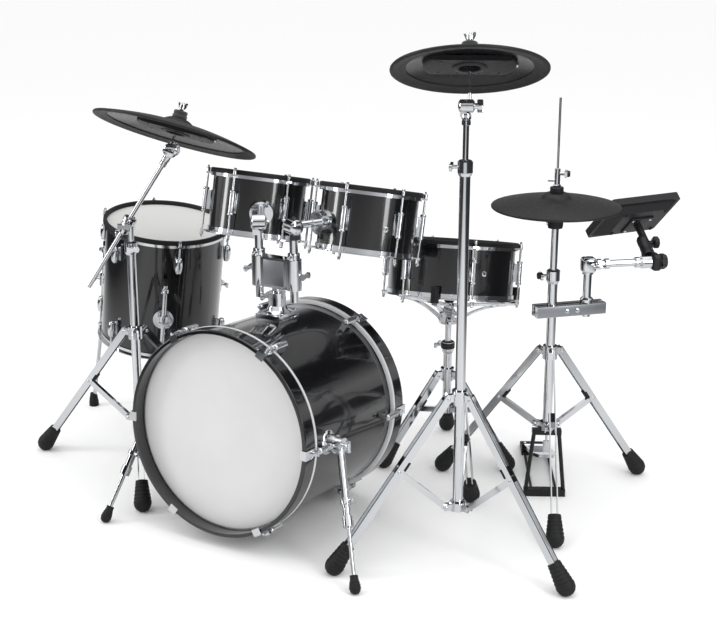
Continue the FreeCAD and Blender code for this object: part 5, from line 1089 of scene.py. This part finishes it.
# The tread ribs' distances from the heel's hinge, and their height over the line from there to the toe
TREADS = range(52, 226, 14)
TREAD_RISE = 4.9
heel = joint_spot("hihat_pedal")
toe = (PEDAL @ shift(*PEDAL_TOE)).to_translation()
climb = (toe - heel).normalized()
level = UP.cross(climb).normalized()
board = axes_at(heel, climb, level, climb.cross(level).normalized())
ribs = [board @ shift(distance, 0, TREAD_RISE) for distance in TREADS]
repeated("pedal_tread_ribs", rounded_box("rib", (5.0, 50.0, 2.4), 0.9), ribs, "pedal", ALUMINIUM)
heel_screws = corners(PEDAL @ shift(*HEEL_PLATE), half_x=13, half_y=28, height=0)
repeated("heel_plate_screws", RIVET, heel_screws, "stands", CHROME)


# Double clamp and module arm

CLAMP_HEADING = 46
ARM_HEADING = 41
CLAMP = on_stand("hihat", height=531, heading=CLAMP_HEADING, out=49)
# Out from the clamp's middle to its plates and to the bolts on them, and the bolts' places along it
PLATE_OUT = 20.4
BOLT_OUT = 21.4
BOLTS_AT = (-14.7, 14.7)
CLAMP_PLATE = rounded_box("clamp_plate", (193, 2.2, 27), 0.8)
for name, side in (("inner", -1), ("outer", 1)):
    piece(f"double_clamp_plate_{name}", CLAMP_PLATE, "stands", ALUMINIUM,
          CLAMP @ shift(0, side * PLATE_OUT, 0))
bolts = [CLAMP @ shift(x, side * BOLT_OUT, 0) @ turn_x(-90 * side) for x in BOLTS_AT for side in (-1, 1)]
repeated("double_clamp_bolts", BOLT_HEAD, bolts, "stands", CHROME)
ARM_POST = on_stand("hihat", height=648, heading=CLAMP_HEADING, out=98)
ARM_CORNER = ARM_POST @ turn_z(ARM_HEADING - CLAMP_HEADING)
# From the arm's corner: along the arm to its collars, and down its post to the foot's
COLLARS_AT = (22, 44, 128)
FOOT_COLLAR_DOWN = 101.5
piece("module_arm_elbow", rounded_box("elbow", (38, 36, 42), 9.0, 4), "module_arm", CHROME, ARM_CORNER)
piece("module_arm_wing", WING, "module_arm", CHROME, ARM_CORNER @ shift(22, -17, 0) @ turn_x(90))
collar = turned("collar", [(10.0, 0), (13.4, 0), (14.4, 1), (14.4, 12), (13.4, 13), (10.0, 13)], 40)
collar_places = [ARM_CORNER @ shift(x, 0, 0) @ SIDEWAYS for x in COLLARS_AT]
repeated("module_arm_collars", collar, collar_places, "module_arm", CHROME)
foot_collar = turned("foot_collar", [(11.1, 0), (17, 0), (18, 1), (18, 9), (14, 13), (11.1, 14)], 40)
piece("module_arm_foot_collar", foot_collar, "module_arm", CHROME,
      ARM_CORNER @ shift(0, 0, -FOOT_COLLAR_DOWN))


# Sound module and its bracket

MODULE_AT = (727, 503, 738)
# Heading of the module's long side, and how far its face tips towards the player
MODULE_HEADING = 58
MODULE_TIP = 45
# Out along the bracket's joint to its head and knob, and up its strut to the sleeve
BRACKET_HEAD_OUT = 13
JOINT_KNOB_OUT = 25
SLEEVE_UP = 22
# The strut's knob sits at this share of the way up to the module, with its stem this far aside
KNOB_SHARE = 0.42
SIDE_KNOB_OUT = 26
SIDE_STEM_OUT = 12
# On the module's own axes: face, base and back edge, and the places of what is on them
FACE_Z = 20
BASE_Z = -20
BACK_EDGE = 79
DISPLAY_AT = (-22, 38)
DIAL_AT = (63.28, 3.16)
SOFT_KEYS_X = range(-81, -12, 17)
SOFT_KEYS_Y = 4
JACKS_X = (-67.8, -33.9, 0, 33.9)
JACKS_Z = 10
VENTS_X = range(-45, 46, 10)
VENTS_Y = -20
along = lean(90, MODULE_HEADING)
normal = lean(MODULE_TIP, MODULE_HEADING + 90)
module = axes_at(spot(*MODULE_AT), along, normal.cross(along), normal)
bracket_joint = joint_spot("module_tilt")
strut = module.to_translation() - bracket_joint
arm_axes = ARM_CORNER.to_3x3()
head_place = Matrix.Translation(bracket_joint) @ arm_axes.to_4x4()
head = rounded_box("head", (24, 44, 44), 8.0, 4)
piece("module_bracket_head", head, "module", PLASTIC, head_place @ shift(BRACKET_HEAD_OUT, 0, 0))
piece("module_joint_knob", knob(diameter=44, depth=18, lobes=5), "module", PLASTIC,
      head_place @ shift(JOINT_KNOB_OUT, 0, 0) @ SIDEWAYS)
sleeve = turned("sleeve", [(10.1, 0), (14.6, 0), (15.6, 1.5), (15.6, 10), (14.4, 12), (14.4, 40), (15.6, 42),
                           (15.6, 56), (13, 62), (10.1, 64)], 40)
piece("module_bracket_sleeve", sleeve, "module", PLASTIC,
      stand_at(bracket_joint, strut) @ shift(0, 0, SLEEVE_UP))
aside = strut.cross(UP).normalized()
if aside.dot(arm_axes @ Vector((1, 0, 0))) < 0:
    aside = -aside
strut_side = stand_at(bracket_joint + strut * KNOB_SHARE, aside)
piece("module_bracket_knob", knob(diameter=34, depth=16, lobes=5), "module", PLASTIC,
      strut_side @ shift(0, 0, SIDE_KNOB_OUT))
piece("module_bracket_stem", round_bar("stem", diameter=12, length=16), "module", PLASTIC,
      strut_side @ shift(0, 0, SIDE_STEM_OUT))
mount_plate = rounded_box("mount_plate", (74, 66, 7), 2.4, 3)
piece("module_mount_plate", mount_plate, "module", PLASTIC, module @ shift(0, 0, BASE_Z - 1.5))
mount_screws = corners(module, half_x=28, half_y=24, height=BASE_Z - 5)
repeated("module_mount_screws", RIVET, flipped(mount_screws), "module", CHROME)
window = rounded_box("window", (74, 36, 2.4), 1.0)
piece("module_window", window, "module", WINDOW, module @ shift(*DISPLAY_AT, FACE_Z + 0.2))
bezel = rounded_box("bezel", (82, 44, 1.8), 0.8)
piece("module_bezel", bezel, "module", GLOSS_PLASTIC, module @ shift(*DISPLAY_AT, FACE_Z - 0.1))
soft_keys = [module @ shift(x, SOFT_KEYS_Y, FACE_Z + 0.8) for x in SOFT_KEYS_X]
repeated("module_soft_keys", rounded_box("key", (12, 7, 2.6), 1.0), soft_keys, "module", KEY_PLASTIC)
dial = module @ shift(*DIAL_AT, 0)
dial_rib = rounded_box("dial_rib", (1.2, 1.5, 11.5), 0.5)
dial_ribs = around(dial, 17.0, 26.8, range(0, 360, 12))
repeated("module_dial_ribs", dial_rib, dial_ribs, "module_dial", GLOSS_PLASTIC)
dial_cap = turned("dial_cap", [(0, 33.4), (14, 33.4), (14.6, 33.9), (13, 34.4), (0, 34.2)], 40, closed=False)
piece("module_dial_cap", dial_cap, "module_dial", ALUMINIUM, dial)
jack_nut = turned("jack_nut", [(3.3, -0.5), (6, -0.5), (6, 2), (5.2, 2.8), (3.3, 2.8)], 28)
jack_places = [module @ shift(x, BACK_EDGE, JACKS_Z) @ turn_x(-90) for x in JACKS_X]
repeated("module_jack_nuts", jack_nut, jack_places, "module", CHROME)
vents = [module @ shift(x, VENTS_Y, BASE_Z + 0.6) for x in VENTS_X]
repeated("module_vents", rounded_box("vent", (3.2, 26, 1.6), 0.7), vents, "module", GLOSS_PLASTIC)
module_foot = turned("module_foot", [(0, 0), (6, 0), (5.6, 2.2), (4.6, 2.8), (0, 2.8)], 28, closed=False)
foot_places = flipped(corners(module @ shift(0, -9, 0), half_x=66, half_y=43, height=BASE_Z))
repeated("module_feet", module_foot, foot_places, "module", RUBBER)


# Lights, floor and camera

def by_gloss(tree, plain, mirrored):
    """One colour for plain sight and another for what shiny things mirror."""
    ray = add(tree, "ShaderNodeLightPath")
    shown = add(tree, "ShaderNodeMix", {MIX_SHARE: ray.outputs["Is Glossy Ray"], MIX_FIRST: srgb(plain),
                                        MIX_SECOND: mirrored}, data_type="RGBA")
    return shown.outputs[MIX_RESULT]


# What gloss mirrors of the surround: colours by the sine of the height, from the horizon to straight above
SURROUND = ((0.0, "b8b8b8"), (0.14, "cfcfcf"), (0.24, "8c8c8e"), (0.32, "242426"), (0.48, "1c1c1e"),
            (0.58, "e4e4e4"), (1.0, "f4f4f4"))


def world_light():
    """In gloss it shows as a studio with a dim band below the lamps."""
    world = bpy.data.worlds.new("studio")
    bpy.context.scene.world = world
    world.use_nodes = True
    tree = world.node_tree
    place = add(tree, "ShaderNodeTexCoord")
    split = add(tree, "ShaderNodeSeparateXYZ", {"Vector": place.outputs["Generated"]})
    ramp = add(tree, "ShaderNodeValToRGB", {"Fac": split.outputs["Z"]})
    stops = ramp.color_ramp.elements
    for stop, (position, code) in zip(stops, (SURROUND[0], SURROUND[-1])):
        stop.position = position
        stop.color = srgb(code)
    for position, code in SURROUND[1:-1]:
        stops.new(position).color = srgb(code)
    shader = tree.nodes["Background"]
    tree.links.new(by_gloss(tree, "fbfbfb", ramp.outputs["Color"]), shader.inputs["Color"])
    shader.inputs["Strength"].default_value = 1.04


def area_light(name, place, target, size, power):
    data = bpy.data.lights.new(name, "AREA")
    data.shape = "RECTANGLE"
    data.size, data.size_y = size
    data.energy = power
    light = bpy.data.objects.new(name, data)
    bpy.context.scene.collection.objects.link(light)
    light.location = place
    light.rotation_euler = (Vector(target) - Vector(place)).to_track_quat("-Z", "Y").to_euler()


# The camera looks along this heading, and the floor's painted reflection strip runs along it. The floor's
# sizes are in metres
VIEW_HEADING = 30.9
MIRRORED_STRIP_EDGE = 1.3
MIRRORED_DARK_FROM = 2.5
FLOOR_HALF = 90.0


def paper_sweep():
    """White paper on the floor. Seen in gloss only, it has a painted reflection: a broad grey strip along the
    view, with painted dark floor on both sides.
    """
    made, tree, shader = surface("paper_sweep_white", Roughness=0.85, Specular_IOR_Level=0.1)
    place = add(tree, "ShaderNodeTexCoord")
    along_view = add(tree, "ShaderNodeMapping", {"Vector": place.outputs["Object"],
                                                 "Rotation": (0, 0, math.radians(-VIEW_HEADING))})
    split = add(tree, "ShaderNodeSeparateXYZ", {"Vector": along_view.outputs["Vector"]})
    off_middle = add(tree, "ShaderNodeMath", {0: split.outputs["X"]}, operation="ABSOLUTE")
    fall = add(tree, "ShaderNodeMapRange", {"Value": off_middle.outputs["Value"], "From Min": MIRRORED_STRIP_EDGE,
                                            "From Max": MIRRORED_DARK_FROM})
    # Painted reflection: in gloss only, the floor turns from grey in the middle strip to dark on both sides
    strip = add(tree, "ShaderNodeMix", {MIX_SHARE: fall.outputs["Result"], MIX_FIRST: srgb("cfcfcf"),
                                        MIX_SECOND: srgb("2a2a2c")}, data_type="RGBA")
    tree.links.new(by_gloss(tree, "fcfcfc", strip.outputs[MIX_RESULT]), shader.inputs["Base Color"])
    return made


def studio():
    world_light()
    area_light("overhead_softbox", (0.3, -0.4, 4.2), (0, 0, 0.4), size=(4.5, 3.5), power=40)
    area_light("left_strip", (-3.4, -2.4, 2.0), (0, 0, 0.6), size=(0.7, 2.8), power=45)
    area_light("right_strip", (3.6, -1.2, 2.2), (0, 0, 0.6), size=(0.7, 2.8), power=40)
    floor = bpy.data.meshes.new("floor")
    outline = [(x * FLOOR_HALF, y * FLOOR_HALF, 0) for x, y in ((-1, -1), (1, -1), (1, 1), (-1, 1))]
    floor.from_pydata(outline, [], [(0, 1, 2, 3)])
    floor.materials.append(paper_sweep())
    ground = bpy.data.objects.new("floor", floor)
    bpy.context.scene.collection.objects.link(ground)


def camera():
    data = bpy.data.cameras.new("camera")
    data.sensor_width = 36.0
    data.lens = 70.39
    made = bpy.data.objects.new("camera", data)
    bpy.context.scene.collection.objects.link(made)
    made.location = (2.0034, -3.1243, 1.593)
    made.rotation_euler = Euler((math.radians(73), 0, math.radians(VIEW_HEADING)))
    bpy.context.scene.camera = made


studio()
camera()
bpy.context.scene.view_settings.view_transform = "Standard"
